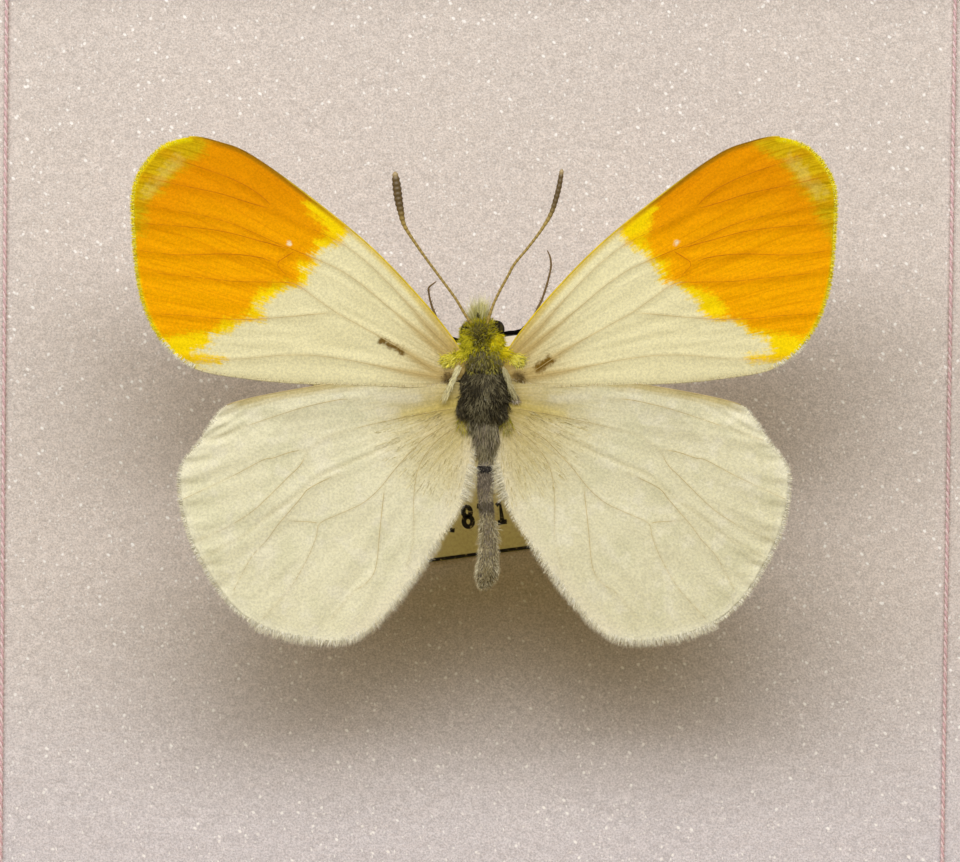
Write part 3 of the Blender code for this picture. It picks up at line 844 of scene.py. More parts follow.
glass = Finish("white_glass_head")
cloud = glass.noise(0.5 * MM, 2)
glass.surface(
    Base_Color=glass.mix(cloud, (0.80, 0.80, 0.77), (0.88, 0.87, 0.84)), Roughness=0.12, Coat_Weight=0.4,
    Coat_Roughness=0.05,
)
steel = Finish("pin_steel")
drawn_lines = steel.noise(0.05 * MM, 2, at=steel.stretched((1, 1, 0.02)))
steel.surface(
    Base_Color=steel.mix(drawn_lines, (0.52, 0.52, 0.53), (0.70, 0.70, 0.71)), Metallic=1.0,
    Roughness=steel.step(drawn_lines, 0.2, 0.8, 0.2, 0.4),
)
for where in ("back", "front"):
    for side in ("left", "right"):
        node = f"thread_pin_{where}_{side}"
        place = (*middle_of(node), FOAM_TOP + HEAD_RISE * MM)
        head = turned_piece(head_profile, place, steps=28)
        place_piece(head, f"glass_head_{where}_{side}", glass.material, "pin_head", node)
        shaft = turned_piece(shaft_profile, place, steps=16)
        place_piece(shaft, f"pin_shaft_{where}_{side}", steel.material, "pin_steel", node)

PIN_RADIUS = 0.225
pin_low, pin_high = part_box("specimen_pin")
pin_top = (pin_high.z - pin_low.z) / MM
fine_profile = [
    (0.0, pin_top), (0.18, pin_top), (PIN_RADIUS, pin_top - 0.06), (PIN_RADIUS, 0.9), (0.1, 0.3), (0.0, 0.0),
]
fine_pin = turned_piece(fine_profile, (*PIN_PLACES[0], pin_low.z), steps=20)
place_piece(fine_pin, "steel_specimen_pin", steel.material, "pin_steel", "specimen_pin")

# %% [markdown]
# ## Wings: outline and veins
#
# A wing is a thin dry membrane that veins hold open like the ribs of a fan. Its outline is one smooth
# loop with three corners: the root, the apex and the hind corner. The loop is given as points of the
# right wing, and the left wing is its mirror image. Each vein is a line from the root or from another
# vein to the margin.

# %% Wing outlines
WING_SPAN = 21.0
TIP_RISE = 0.9
HINDWING_DROP = (0.03, 0.45)
LINE_STEPS = 8
FOREWING = (
    (0.9, 1.5), (1.9, 3.1), (3.98, 5.65), (6.89, 8.63), (10.6, 11.65), (13.86, 13.95),
    (15.7, 14.7), (17.55, 15.03), (19.45, 14.39), (20.85, 12.41), (21.0, 9.88), (20.58, 5.83),
    (19.33, 2.98), (17.25, 1.28), (14.15, 0.65), (10.94, 0.36), (6.89, 0.24), (3.62, 0.18),
    (1.4, 0.6),
)
HINDWING = (
    (0.9, 0.3), (2.6, 0.7), (4.8, 0.75), (8.08, 0.5), (12.85, -0.27), (15.29, -0.9), (16.09, -1.58),
    (17.07, -3.04), (18.17, -4.64), (18.16, -6.96), (17.28, -9.67), (15.29, -12.8),
    (12.96, -14.35), (9.87, -15.0), (7.46, -14.67), (5.11, -12.47), (2.43, -8.66),
    (1.18, -6.43), (0.46, -3.27),
)
FORE_CORNERS = (7, 13)
HIND_CORNERS = (5, 14)


def wing_edges(outline, corners):
    """The costa, the outer margin and the hind edge, each from the body outwards or from the apex on."""
    loop = smooth_line(outline, LINE_STEPS)
    apex, rear = (corner * LINE_STEPS for corner in corners)
    return {"costa": loop[:apex + 1], "margin": loop[apex:rear + 1], "hind": loop[rear:][::-1]}


fore_edges = wing_edges(FOREWING, FORE_CORNERS)
hind_edges = wing_edges(HINDWING, HIND_CORNERS)
print("points per edge:", {name: len(edge) for name, edge in fore_edges.items()})

# %% Veins
FORE_VEINS = (
    # the radial stem and its fork below the apex
    ((1.2, 1.7), (2.2, 2.6), (3.3, 3.7), (4.4, 4.98), (5.3, 5.95), (6.2, 6.85), (7.1, 7.7),
     (8.4, 8.66), (9.8, 9.38), (11.4, 10.13), (12.47, 10.7)),
    ((12.47, 10.7), (13.12, 11.42), (14.17, 12.14), (15.61, 12.79), (17.7, 13.51), (19.3, 14.2)),
    ((12.47, 10.7), (14.04, 11.15), (15.74, 11.68), (17.97, 12.14), (20.32, 12.66)),
    # the upper edge of the cell and the first median vein
    ((1.5, 1.5), (3.2, 2.85), (4.7, 4.1), (5.9, 5.1), (7.2, 6.2), (8.6, 7.15), (9.9, 7.74),
     (11.2, 8.28), (12.3, 8.72), (13.6, 9.3), (14.9, 9.85), (16.9, 10.4), (19.93, 10.95),
     (20.9, 11.1)),
    ((11.2, 8.28), (13.3, 8.85), (16.0, 9.5), (19.93, 9.86), (20.95, 9.9)),
    # the end of the cell and the third median vein
    ((11.2, 8.28), (11.75, 7.95), (12.3, 7.5), (11.85, 6.9), (11.29, 6.31)),
    ((12.33, 7.49), (13.38, 7.88), (15.35, 8.08), (17.97, 8.01), (19.54, 8.14), (20.8, 8.34)),
    # the cubital stem with its two branches
    ((1.5, 0.8), (2.64, 1.0), (3.3, 1.35), (4.0, 1.82), (4.87, 2.4), (6.18, 3.15), (7.49, 3.88),
     (8.8, 4.61), (10.11, 5.52), (11.29, 6.31), (12.73, 6.41), (14.69, 6.44), (16.66, 6.64),
     (18.62, 6.83), (20.6, 7.09)),
    ((8.8, 4.61), (10.11, 4.5), (12.07, 4.32), (14.04, 4.19), (16.0, 4.25), (17.97, 4.44),
     (20.0, 4.54)),
    # the anal vein
    ((1.5, 0.8), (2.38, 0.75), (4.21, 1.0), (6.18, 1.4), (8.14, 1.79), (10.11, 2.05),
     (12.07, 2.06), (14.04, 1.88), (16.4, 1.79), (18.0, 1.9)),
)
HIND_VEINS = (
    ((1.2, -1.1), (2.11, -1.16), (4.23, -1.52), (5.64, -1.81), (6.94, -2.1), (8.11, -2.4),
     (9.05, -2.63), (9.76, -3.05), (10.47, -3.52)),
    ((10.47, -3.52), (11.52, -3.69), (12.58, -4.05), (13.17, -4.16), (15.06, -5.16), (17.9, -6.5)),
    ((10.47, -3.52), (10.94, -4.46), (11.64, -5.16), (12.82, -6.34), (13.88, -7.28),
     (15.41, -8.22), (17.2, -9.0)),
    ((7.5, -0.5), (8.8, -0.6), (10.8, -1.05), (12.7, -1.65), (14.6, -2.3), (16.6, -3.0)),
    ((8.58, -4.93), (10.35, -5.81), (10.94, -6.46), (11.64, -7.28), (12.35, -8.11),
     (12.94, -8.93), (13.88, -9.99), (14.9, -11.9)),
    ((1.3, -1.6), (3.29, -2.69), (4.23, -3.52), (5.29, -4.69), (6.23, -5.87), (7.17, -6.69),
     (8.11, -7.16), (8.94, -7.52), (9.82, -7.96), (9.99, -8.69), (10.35, -9.64), (10.82, -10.58),
     (11.52, -11.75), (12.35, -12.7), (13.17, -13.6)),
    ((9.82, -7.96), (10.35, -7.85), (11.17, -7.81), (12.0, -7.7)),
    ((5.9, -5.5), (6.2, -8.2), (6.46, -10.58), (7.05, -11.52), (7.88, -12.11), (9.1, -13.6)),
    ((1.2, -1.9), (2.9, -3.1), (3.9, -4.6), (4.2, -6.5), (4.2, -8.8), (4.6, -10.4)),
)
HIND_CREASE = (
    (4.2, -2.6), (5.6, -3.3), (6.94, -3.87), (8.58, -4.58), (9.76, -5.05), (10.47, -5.64),
    (11.52, -6.58), (12.7, -7.4), (13.88, -8.34), (14.47, -8.81), (15.64, -9.4), (16.9, -10.15),
)
FORE_FOLD = ((3.0, 1.9), (4.6, 3.4), (6.0, 4.7), (7.5, 5.75), (9.0, 6.6), (10.3, 7.15))
FORE_PLEAT = (
    (5.0, 2.0), (7.4, 2.5), (9.06, 2.84), (10.37, 3.14), (12.07, 3.23), (14.7, 3.2), (16.9, 3.23),
    (18.6, 3.3),
)
YELLOW_STAIN = ((1.2, -0.75), (2.8, -1.15), (4.7, -1.5))
PALE_CELL = ((4.1, -0.5), (6.1, -0.4))
fore_veins = [smooth_line(line, 5) for line in FORE_VEINS]
hind_veins = [smooth_line(line, 5) for line in HIND_VEINS]
print(len(fore_veins), "forewing and", len(hind_veins), "hindwing vein lines")

# %% [markdown]
# ## Wings: colours as lines
#
# The scales change colour along a few lines: the border where the tip turns yellow, the one where the
# yellow turns orange, and the border of the olive patch at the apex with its pale specks. A pale dot
# marks the end of the cell, a brown smudge lies near the body, and the shoulder is shaded. The mesh
# carries how far each of its points lies from these lines, and the finish turns that distance into a
# border that is feathered along the wing's rays.

# %% Colour lines
TIP_BORDER = {
    "right": ((7.6, 10.4), (8.1, 9.4), (8.4, 8.75), (9.05, 8.35), (9.7, 7.95), (10.0, 7.55),
              (10.35, 7.25), (10.5, 6.5), (11.5, 6.3), (12.1, 5.7), (12.75, 5.2), (12.9, 4.6),
              (13.6, 4.2), (14.8, 4.08), (15.6, 3.62), (15.65, 3.35), (16.8, 3.12), (16.95, 2.7),
              (17.1, 2.2), (15.6, 1.95), (15.9, 1.72), (18.4, 1.6)),
    "left": ((7.7, 10.3), (8.2, 9.5), (8.41, 8.86), (9.2, 8.52), (9.95, 8.15), (10.3, 7.95),
             (9.95, 7.55), (10.3, 7.2), (10.7, 7.2), (10.42, 6.9), (10.6, 6.24), (11.56, 6.1),
             (12.08, 5.85), (12.87, 5.28), (13.55, 5.1), (13.2, 4.7), (13.13, 4.19), (14.18, 4.06),
             (14.7, 3.89), (14.79, 3.54), (15.57, 3.36), (16.36, 3.14), (16.27, 2.84), (16.7, 2.45),
             (17.3, 2.2), (15.4, 1.85), (15.7, 1.62), (18.4, 1.5)),
}
ORANGE_BORDER = {
    "right": ((9.8, 11.6), (10.1, 10.79), (9.75, 9.56), (9.4, 8.6), (10.19, 7.9), (10.8, 7.55),
              (10.7, 6.42), (11.5, 6.42), (12.02, 6.24), (13.25, 5.72), (13.77, 5.37),
              (14.38, 4.85), (14.21, 4.32), (15.25, 4.1), (15.78, 3.54), (16.74, 3.41),
              (18.2, 3.19), (19.4, 2.9)),
    "left": ((9.9, 11.7), (10.6, 11.1), (10.25, 10.52), (9.37, 9.74), (9.35, 9.1), (9.9, 8.9),
             (9.9, 8.34), (10.33, 8.0), (10.3, 7.47), (11.0, 7.6), (10.9, 7.1), (11.0, 6.42),
             (11.64, 6.33), (12.52, 6.16), (13.22, 5.9), (13.74, 5.28), (13.92, 4.67), (14.0, 4.24),
             (15.49, 4.12), (15.9, 3.65), (16.3, 3.4), (18.1, 3.19), (19.4, 2.9)),
}
TIP_OUTSIDE = ((19.0, 0.0), (24.0, 5.0), (22.0, 16.0), (14.0, 17.0), (8.5, 12.0))
APEX_BORDER = {
    "right": ((15.6, 14.75), (16.3, 14.2), (17.1, 13.7), (17.7, 13.25), (18.25, 12.6), (18.4, 12.05),
              (19.15, 11.6), (19.45, 10.6), (20.1, 9.5), (20.7, 8.5)),
    "left": ((16.38, 14.88), (16.56, 14.05), (17.45, 13.33), (18.17, 12.8), (18.82, 12.02),
             (19.54, 11.49), (19.95, 10.54), (20.07, 9.29), (21.0, 8.9)),
}
APEX_OUTSIDE = ((23.0, 9.0), (22.0, 17.0), (15.0, 17.0))
PALE_DOT = {"right": (11.41, 8.78), "left": (11.56, 8.72)}
PALE_SPECKS = ((18.2, 13.6), (18.9, 12.9), (19.3, 12.3), (19.9, 11.7))
SMUDGES = {
    "right": ((3.25, 1.32), (3.9, 1.78)),
    "left": ((4.9, 2.3), (6.2, 2.98)),
}
SHOULDER_SHADE = ((1.9, 0.9), (2.3, 0.7))


def distance_to(points, line):
    """Least distance from each point to a line of points."""
    line = np.asarray(line, float)
    best = np.full(len(points), 1e9)
    for a, b in zip(line[:-1], line[1:]):
        along = b - a
        share = np.clip(((points - a) @ along) / (along @ along), 0, 1)
        best = np.minimum(best, np.linalg.norm(points - a - share[:, None] * along, axis=1))
    return best


def inside(points, loop):
    """True for each point within a closed loop."""
    loop = np.asarray(loop, float)
    odd = np.zeros(len(points), bool)
    for (x1, y1), (x2, y2) in zip(loop, np.roll(loop, -1, axis=0)):
        if y1 == y2:
            continue
        crosses = (y1 > points[:, 1]) != (y2 > points[:, 1])
        odd ^= crosses & (points[:, 0] < x1 + (points[:, 1] - y1) / (y2 - y1) * (x2 - x1))
    return odd


def signed(points, border, outside):
    """Distance to a border: positive on the side that the outside points close."""
    far = distance_to(points, border)
    return np.where(inside(points, [*border, *outside]), far, -far)


def wander(points, size, seed):
    """Smooth noise between -1 and 1, with bumps about size mm wide."""
    return np.array([noise.noise(Vector((x / size, y / size, seed))) for x, y in points])


def rays(points, root, folds, seed):
    """Smooth noise that is drawn out along the rays from the wing's root."""
    away = points - np.array(root)
    angle = np.arctan2(away[:, 1], away[:, 0])
    far = np.linalg.norm(away, axis=1)
    return np.array([noise.noise(Vector((a * folds, f * 0.13, seed))) for a, f in zip(angle, far)])


def fade(values, low, high):
    share = np.clip((values - low) / (high - low), 0, 1)
    return share * share * (3 - 2 * share)


# %% [markdown]
# ## Wings: relief
#
# A dry wing isn't flat. It rises a little to its tip, sways between the veins, stands up along them,
# and is pleated along its rays. The forewing has one fold and one long pleat, and its hind edge turns
# down. The hindwing has one strong crease, sharp folds across its front corner, and an outer margin
# that rippled as it dried. The same function gives the height of the membrane, the veins and the
# fringes, so they always meet.

# %% Wing relief
FORE_ROOT = (0.5, 1.0)
HIND_ROOT = (0.4, -1.0)
RIPPLE_LENGTH = 0.68
PLEAT_ANGLE = 0.085
CORNER_FOLDS = ((15.5, -2.05), (0.883, -0.468))


def nearest_vein(points, veins):
    return np.min([distance_to(points, line) for line in veins], axis=0)


def bell(values, width):
    """1 where a value is nought, and almost nought from twice the width on."""
    return np.exp(-(values / width) ** 2)


def rise(points):
    """The slow bend of a spread wing towards its tip."""
    return TIP_RISE * (np.abs(points[:, 0]) / WING_SPAN) ** 1.5


def fore_height(points, seed):
    """Height of the forewing's upper side over the wings' level, in mm."""
    vein = nearest_vein(points, fore_veins)
    outer = distance_to(points, fore_edges["margin"])
    rear = distance_to(points, fore_edges["hind"])
    calm = 0.1 + 0.9 * fade(rear, 0.2, 2.8)
    sway = 0.17 * wander(points, 5.5, 3.1 + seed) + 0.035 * wander(points, 1.5, 8.7 + seed)
    sway += 0.075 * rays(points, FORE_ROOT, 19, 1.3 + seed) * fade(points[:, 0], 1, 9)
    sway += 0.045 * rays(points, FORE_ROOT, 60, 5.3 + seed) * fade(-outer, -9, -1)
    height = rise(points) + calm * sway
    height += 0.04 * bell(vein, 0.22) - 0.02 * bell(vein - 0.5, 0.25)
    height -= 0.06 * bell(distance_to(points, FORE_PLEAT), 0.3)
    height += 0.05 * bell(distance_to(points, FORE_FOLD), 0.3)
    return height - 0.065 * bell(rear, 0.25)


def hind_height(points, seed):
    """Height of the hindwing's upper side over the wings' level, in mm."""
    vein = nearest_vein(points, hind_veins)
    outer = distance_to(points, hind_edges["margin"])
    crease = distance_to(points, HIND_CREASE)
    calm = fade(distance_to(points, hind_edges["costa"]), 0.4, 3.0)
    calm = 0.1 + 0.9 * np.maximum(calm, fade(points[:, 0], 10.5, 13.5))
    least, most = HINDWING_DROP
    sway = 0.2 * wander(points, 6.0, 4.4 + seed) + 0.06 * wander(points, 1.9, 2.2 + seed)
    sway += 0.11 * rays(points, HIND_ROOT, 13, 7.1 + seed) * fade(-outer, -13, -2)
    sway += 0.05 * rays(points, HIND_ROOT, 34, 6.1 + seed) * fade(-outer, -8, -1)
    height = rise(points) - least - (most - least) * calm + calm * sway
    height += 0.035 * bell(vein, 0.22) + 0.08 * bell(crease, 0.5) - 0.09 * bell(crease, 0.16)
    return height + corner_folds(points) + margin_pleats(points, outer, seed)


def corner_folds(points):
    """A few sharp folds across the hindwing's front corner."""
    middle, way = CORNER_FOLDS
    apart = points - np.array(middle)
    along = apart @ np.array(way)
    across = apart @ np.array((-way[1], way[0]))
    wave = np.sin(2 * math.pi * across / 0.55 + 0.4 * along)
    return 0.05 * wave * np.exp(-(across / 0.8) ** 2 - (along / 1.7) ** 2)


def margin_pleats(points, outer, seed):
    """The dried margin of the hindwing: pleats along the rays, and small ripples on them."""
    away = points - np.array(HIND_ROOT)
    angle = np.arctan2(away[:, 1], away[:, 0])
    sway = 2.0 * wander(points, 4.0, 9.9 + seed)
    pleats = 0.075 * np.sin(2 * math.pi * angle / PLEAT_ANGLE + sway) * fade(-outer, -4.5, -0.2)
    ripple = 0.03 * np.sin(2 * math.pi * points[:, 1] / RIPPLE_LENGTH + sway) * fade(-outer, -2.2, -0.3)
    return (pleats + ripple) * fade(points[:, 0], 13.0, 16.5)


# %% [markdown]
# ## Wings: membrane
#
# The membrane could be cut from a flat outline, but then its faces would have no order. A grid keeps
# it: its columns become rays from the root, its rows follow the margin, and its own UV map then runs
# with the scales. The grid is added flat, its points move to the patch that the four edges span, and
# Solidify gives it the thickness of a membrane with its scales.

# %% Wing membranes
WING_CUTS = (150, 120)
MEMBRANE = 0.07
INSET_SHARE = 0.988


def spread_points(edges, across, along):
    """Points of the patch between the edges: across 0 to 1 from root to margin, along from costa back."""
    costa = spaced(edges["costa"], across)
    hind = spaced(edges["hind"], across)
    margin = spaced(edges["margin"], along)
    root_start, root_end = edges["costa"][0], edges["hind"][0]
    apex, rear = edges["costa"][-1], edges["hind"][-1]
    u, v = across[:, None], along[:, None]
    root = root_start + (root_end - root_start) * v
    ruled = (1 - v) * costa + v * hind + (1 - u) * root + u * margin
    corners = (1 - u) * (1 - v) * root_start + (1 - u) * v * root_end + u * (1 - v) * apex + u * v * rear
    return ruled - corners


def carry(piece, **values):
    """Lets the mesh carry one number at each of its points, for each name."""
    for name, numbers in values.items():
        made = piece.data.attributes.new(name, "FLOAT", "POINT")
        made.data.foreach_set("value", np.asarray(numbers, np.float32))


def distances(points, **lines):
    """How far each point lies from each line, by the lines' names."""
    return {name: distance_to(points, line) for name, line in lines.items()}


def vertices_of(piece):
    """The places of a mesh's points, in metres."""
    flat = np.empty(len(piece.data.vertices) * 3)
    piece.data.vertices.foreach_get("co", flat)
    return flat.reshape(-1, 3)


def to_world(points, side):
    """From mm about the right wing's root to metres in the drawer, mirrored for the left side."""
    return (np.asarray(points) * (side, 1, 1)) * MM + np.array(SPECIMEN)


def wing_sheet(edges, height, side, seed):
    """An open sheet in the shape of a wing, and the places of its points in mm."""
    bpy.ops.mesh.primitive_grid_add(x_subdivisions=WING_CUTS[0], y_subdivisions=WING_CUTS[1], size=1)
    sheet = bpy.context.object
    flat = vertices_of(sheet)
    points = spread_points(edges, (flat[:, 0] + 0.5) * INSET_SHARE, 0.5 - flat[:, 1])
    placed = to_world(np.column_stack((points, height(points, seed))), side)
    sheet.data.vertices.foreach_set("co", placed.ravel())
    if side < 0:
        sheet.data.flip_normals()
    sheet.data.update()
    return sheet, points


def thicken(sheet):
    modify(sheet, "SOLIDIFY", thickness=MEMBRANE * MM, offset=-1, use_even_offset=True)
    bpy.ops.object.shade_smooth()


# For each side: which way its x runs, and the seed of its relief.
SIDES = {"right": (1, 0), "left": (-1, 20)}
SMUDGE_GROWTH = {"right": 0.12, "left": 0.03}
wings = {}
for word, (side, seed) in SIDES.items():
    sheet, points = wing_sheet(fore_edges, fore_height, side, seed)
    carry(
        sheet,
        tip=signed(points, TIP_BORDER[word], TIP_OUTSIDE),
        orange=signed(points, ORANGE_BORDER[word], TIP_OUTSIDE),
        apex=signed(points, APEX_BORDER[word], APEX_OUTSIDE),
        vein=nearest_vein(points, fore_veins),
        dot=np.linalg.norm(points - np.array(PALE_DOT[word]), axis=1),
        smudge=distance_to(points, SMUDGES[word]) - SMUDGE_GROWTH[word],
        reach=np.linalg.norm(points - np.array(FORE_ROOT), axis=1),
        **distances(
            points, rim=fore_edges["margin"], rear=fore_edges["hind"], costa=fore_edges["costa"],
            specks=PALE_SPECKS, fold=FORE_FOLD, shoulder=SHOULDER_SHADE,
        ),
    )
    thicken(sheet)
    wings[f"forewing_{word}"] = sheet
    sheet, points = wing_sheet(hind_edges, hind_height, side, seed)
    carry(
        sheet,
        vein=nearest_vein(points, hind_veins),
        reach=np.linalg.norm(points - np.array(HIND_ROOT), axis=1),
        **distances(
            points, rim=hind_edges["margin"], inner=hind_edges["hind"], costa=hind_edges["costa"],
            crease=HIND_CREASE, stain=YELLOW_STAIN, cell=PALE_CELL,
        ),
    )
    thicken(sheet)
    wings[f"hindwing_{word}"] = sheet
print("wings:", ", ".join(wings))

# %% [markdown]
# ## Wings: scales
#
# Scales lie on a wing in rows like roof tiles, far too small to model. They show as a fine grain that
# is drawn out along the rays, and they break every colour border into feathers. Near the body the
# scales are stained brown, in streaks along the veins, and the hindwing has a pale cell and a yellow
# stain there. The underside is paler, and on the hindwing it has a faint green marbling.

# %% Forewing finish
def scale_grain(wing, across, along):
    """Noise that is drawn out along the wing's rays, from the grid's own UV map."""
    uv = wing.node("UVMap", uv_map="UVMap")["UV"]
    return wing.noise(1.0, 3, 0.6, at=wing.stretched((along, across, 1), at=uv))


def underside(wing):
    """1 where the surface faces down."""
    return wing.step(wing.part(wing.node("NewGeometry")["True Normal"], 2), -0.2, 0.0, 1.0, 0.0)


def scaly_surface(wing, colour, below, fine, dust, depth, strength):
    """Ends a wing's finish: another colour on the underside, and the low relief of its scales."""
    colour = wing.mix(underside(wing), colour, below)
    relief = wing.plus(wing.times(fine, 0.6), wing.times(dust, 0.5))
    return wing.surface(
        Base_Color=colour, Roughness=0.7, Specular_IOR_Level=0.03, Normal=wing.bump(relief, depth, strength),
    )


def forewing_finish():
    wing = Finish("forewing_scales")
    feather = scale_grain(wing, 110, 9)
    fine = scale_grain(wing, 320, 60)
    cloud = wing.noise(3.5 * MM, 3)
    dust = wing.noise(0.13 * MM, 2, 0.7)
    speckle = wing.noise(0.32 * MM, 2, 0.6)
    vein = wing.value("vein")
    ragged = wing.times(wing.math("SUBTRACT", feather, 0.5), 1.2)
    mottled = wing.times(wing.math("SUBTRACT", speckle, 0.5), 0.9)
    ragged = wing.plus(ragged, mottled)
    cream = wing.mix(cloud, (0.735, 0.67, 0.38), (0.825, 0.77, 0.485))
    cream = wing.mix(wing.step(fine, 0.35, 0.7, 0.0, 0.25), cream, (0.86, 0.83, 0.62))
    edge = wing.plus(wing.value("tip"), ragged)
    yellow = wing.mix(wing.step(edge, -0.3, 0.25), cream, (0.92, 0.66, 0.002))
    low = wing.mix(cloud, (0.76, 0.28, 0.0), (0.81, 0.325, 0.0))
    high = wing.mix(cloud, (0.92, 0.40, 0.0), (0.98, 0.47, 0.0))
    inward = wing.plus(wing.value("costa"), wing.times(wing.value("rim"), 0.6))
    orange = wing.mix(wing.step(inward, 4.2, 9.5), low, high)
    orange = wing.lay(orange, (0.66, 0.21, 0.0), fine, 0.35, 0.75, 0.22)
    # Painted shade: fine streaks along the rays darken the orange, for the shade in its small wrinkles.
    wrinkle_shade = scale_grain(wing, 75, 2.2)
    orange = wing.lay(orange, (0.58, 0.18, 0.0), wrinkle_shade, 0.36, 0.5, 0.3)
    edge = wing.plus(wing.value("orange"), ragged)
    colour = wing.mix(wing.step(edge, -0.25, 0.4), yellow, orange)
    apex = wing.uneven("apex", ragged, 0.9)
    olive = wing.mix(wing.step(feather, 0.35, 0.6), (0.43, 0.28, 0.0), (0.63, 0.44, 0.005))
    colour = wing.mix(wing.step(apex, -0.3, 0.6, 0.0, 0.92), colour, olive)
    specks = wing.uneven("specks", speckle, 1.4)
    pale = wing.times(wing.step(specks, 0.65, 1.35, 1.0, 0.0), wing.step(apex, -0.1, 0.5))
    colour = wing.mix(wing.times(pale, 0.6), colour, (0.70, 0.52, 0.095))
    in_tip = wing.step(wing.value("tip"), -0.6, 0.4)
    outer = wing.times(wing.step(wing.value("rim"), 0.1, 0.45, 1.0, 0.0), in_tip)
    colour = wing.mix(outer, colour, (0.84, 0.70, 0.002))
    slope = wing.times(wing.value("reach"), 0.012)
    before_edge = wing.plus(wing.value("costa"), slope)
    edge_tone = wing.mix(in_tip, (0.66, 0.48, 0.05), (0.58, 0.27, 0.004))
    colour = wing.lay(colour, edge_tone, before_edge, 0.2, 0.55, 0.7)
    far = wing.step(wing.value("reach"), 11.0, 15.0)
    far = wing.times(far, wing.step(wing.value("reach"), 20.0, 21.5, 1.0, 0.0))
    brown_edge = wing.times(wing.step(wing.value("costa"), 0.1, 0.34, 0.6, 0.0), far)
    colour = wing.mix(brown_edge, colour, (0.20, 0.09, 0.002))
    # A darker tint along the veins and the fold: the veins' own colour, and painted shade in the fold.
    lines = wing.math("MINIMUM", vein, wing.plus(wing.value("fold"), 0.08))
    lines = wing.times(lines, wing.step(in_tip, 0.0, 1.0, 1.0, 0.45))
    shaded = wing.mix(in_tip, (0.50, 0.41, 0.20), (0.62, 0.22, 0.0))
    colour = wing.lay(colour, shaded, lines, 0.04, 0.2, 0.3)
    dot = wing.uneven("dot", speckle, 0.5)
    colour = wing.lay(colour, (0.82, 0.72, 0.50), dot, 0.28, 0.48, 0.85)
    root = wing.uneven("reach", feather, 4.0)
    near_costa = wing.step(wing.value("costa"), 0.4, 2.2, 1.0, 0.7)
    stained = wing.times(wing.step(root, 2.8, 9.0, 0.78, 0.0), near_costa)
    colour = wing.mix(stained, colour, (0.52, 0.38, 0.13))
    streaks = wing.step(scale_grain(wing, 26, 1.2), 0.46, 0.62)
    streaks = wing.times(streaks, wing.step(wing.value("reach"), 2.0, 6.5, 0.35, 0.0))
    colour = wing.mix(streaks, colour, (0.33, 0.22, 0.06))
    colour = wing.lay(colour, (0.30, 0.205, 0.055), root, 1.8, 5.0, 0.72)
    bands = wing.math("DIVIDE", vein, wing.step(wing.value("reach"), 1.5, 8.0, 0.5, 0.1))
    bands = wing.times(wing.step(bands, 0.2, 1.0, 0.5, 0.0), wing.step(root, 5.0, 9.5, 1.0, 0.0))
    colour = wing.mix(bands, colour, (0.42, 0.28, 0.07))
    # Along the hind edge: partly its own dull ochre, partly painted shade where the edge turns down.
    colour = wing.lay(colour, (0.50, 0.39, 0.16), wing.value("rear"), 0.03, 0.3, 0.2)
    smudge = wing.uneven("smudge", speckle, 0.75)
    colour = wing.lay(colour, (0.145, 0.075, 0.003), smudge, 0.34, 0.66, 0.94)
    shoulder = wing.uneven("shoulder", speckle, 0.5)
    colour = wing.lay(colour, (0.11, 0.068, 0.022), shoulder, 0.2, 0.7, 0.85)
    colour = wing.mix(1.0, colour, wing.step(dust, 0.25, 0.75, 0.86, 1.13), "MULTIPLY")
    below = wing.mix(0.45, colour, (0.72, 0.68, 0.50))
    return scaly_surface(wing, colour, below, fine, dust, 0.03 * MM, 0.5)


# Painted light: the left hindwing is painted paler than the right, for the brighter light on the left.
HIND_CREAM_PAINTED_LIT = {
    "right": ((0.665, 0.62, 0.405), (0.765, 0.73, 0.51)),
    "left": ((0.725, 0.685, 0.46), (0.845, 0.81, 0.59)),
}


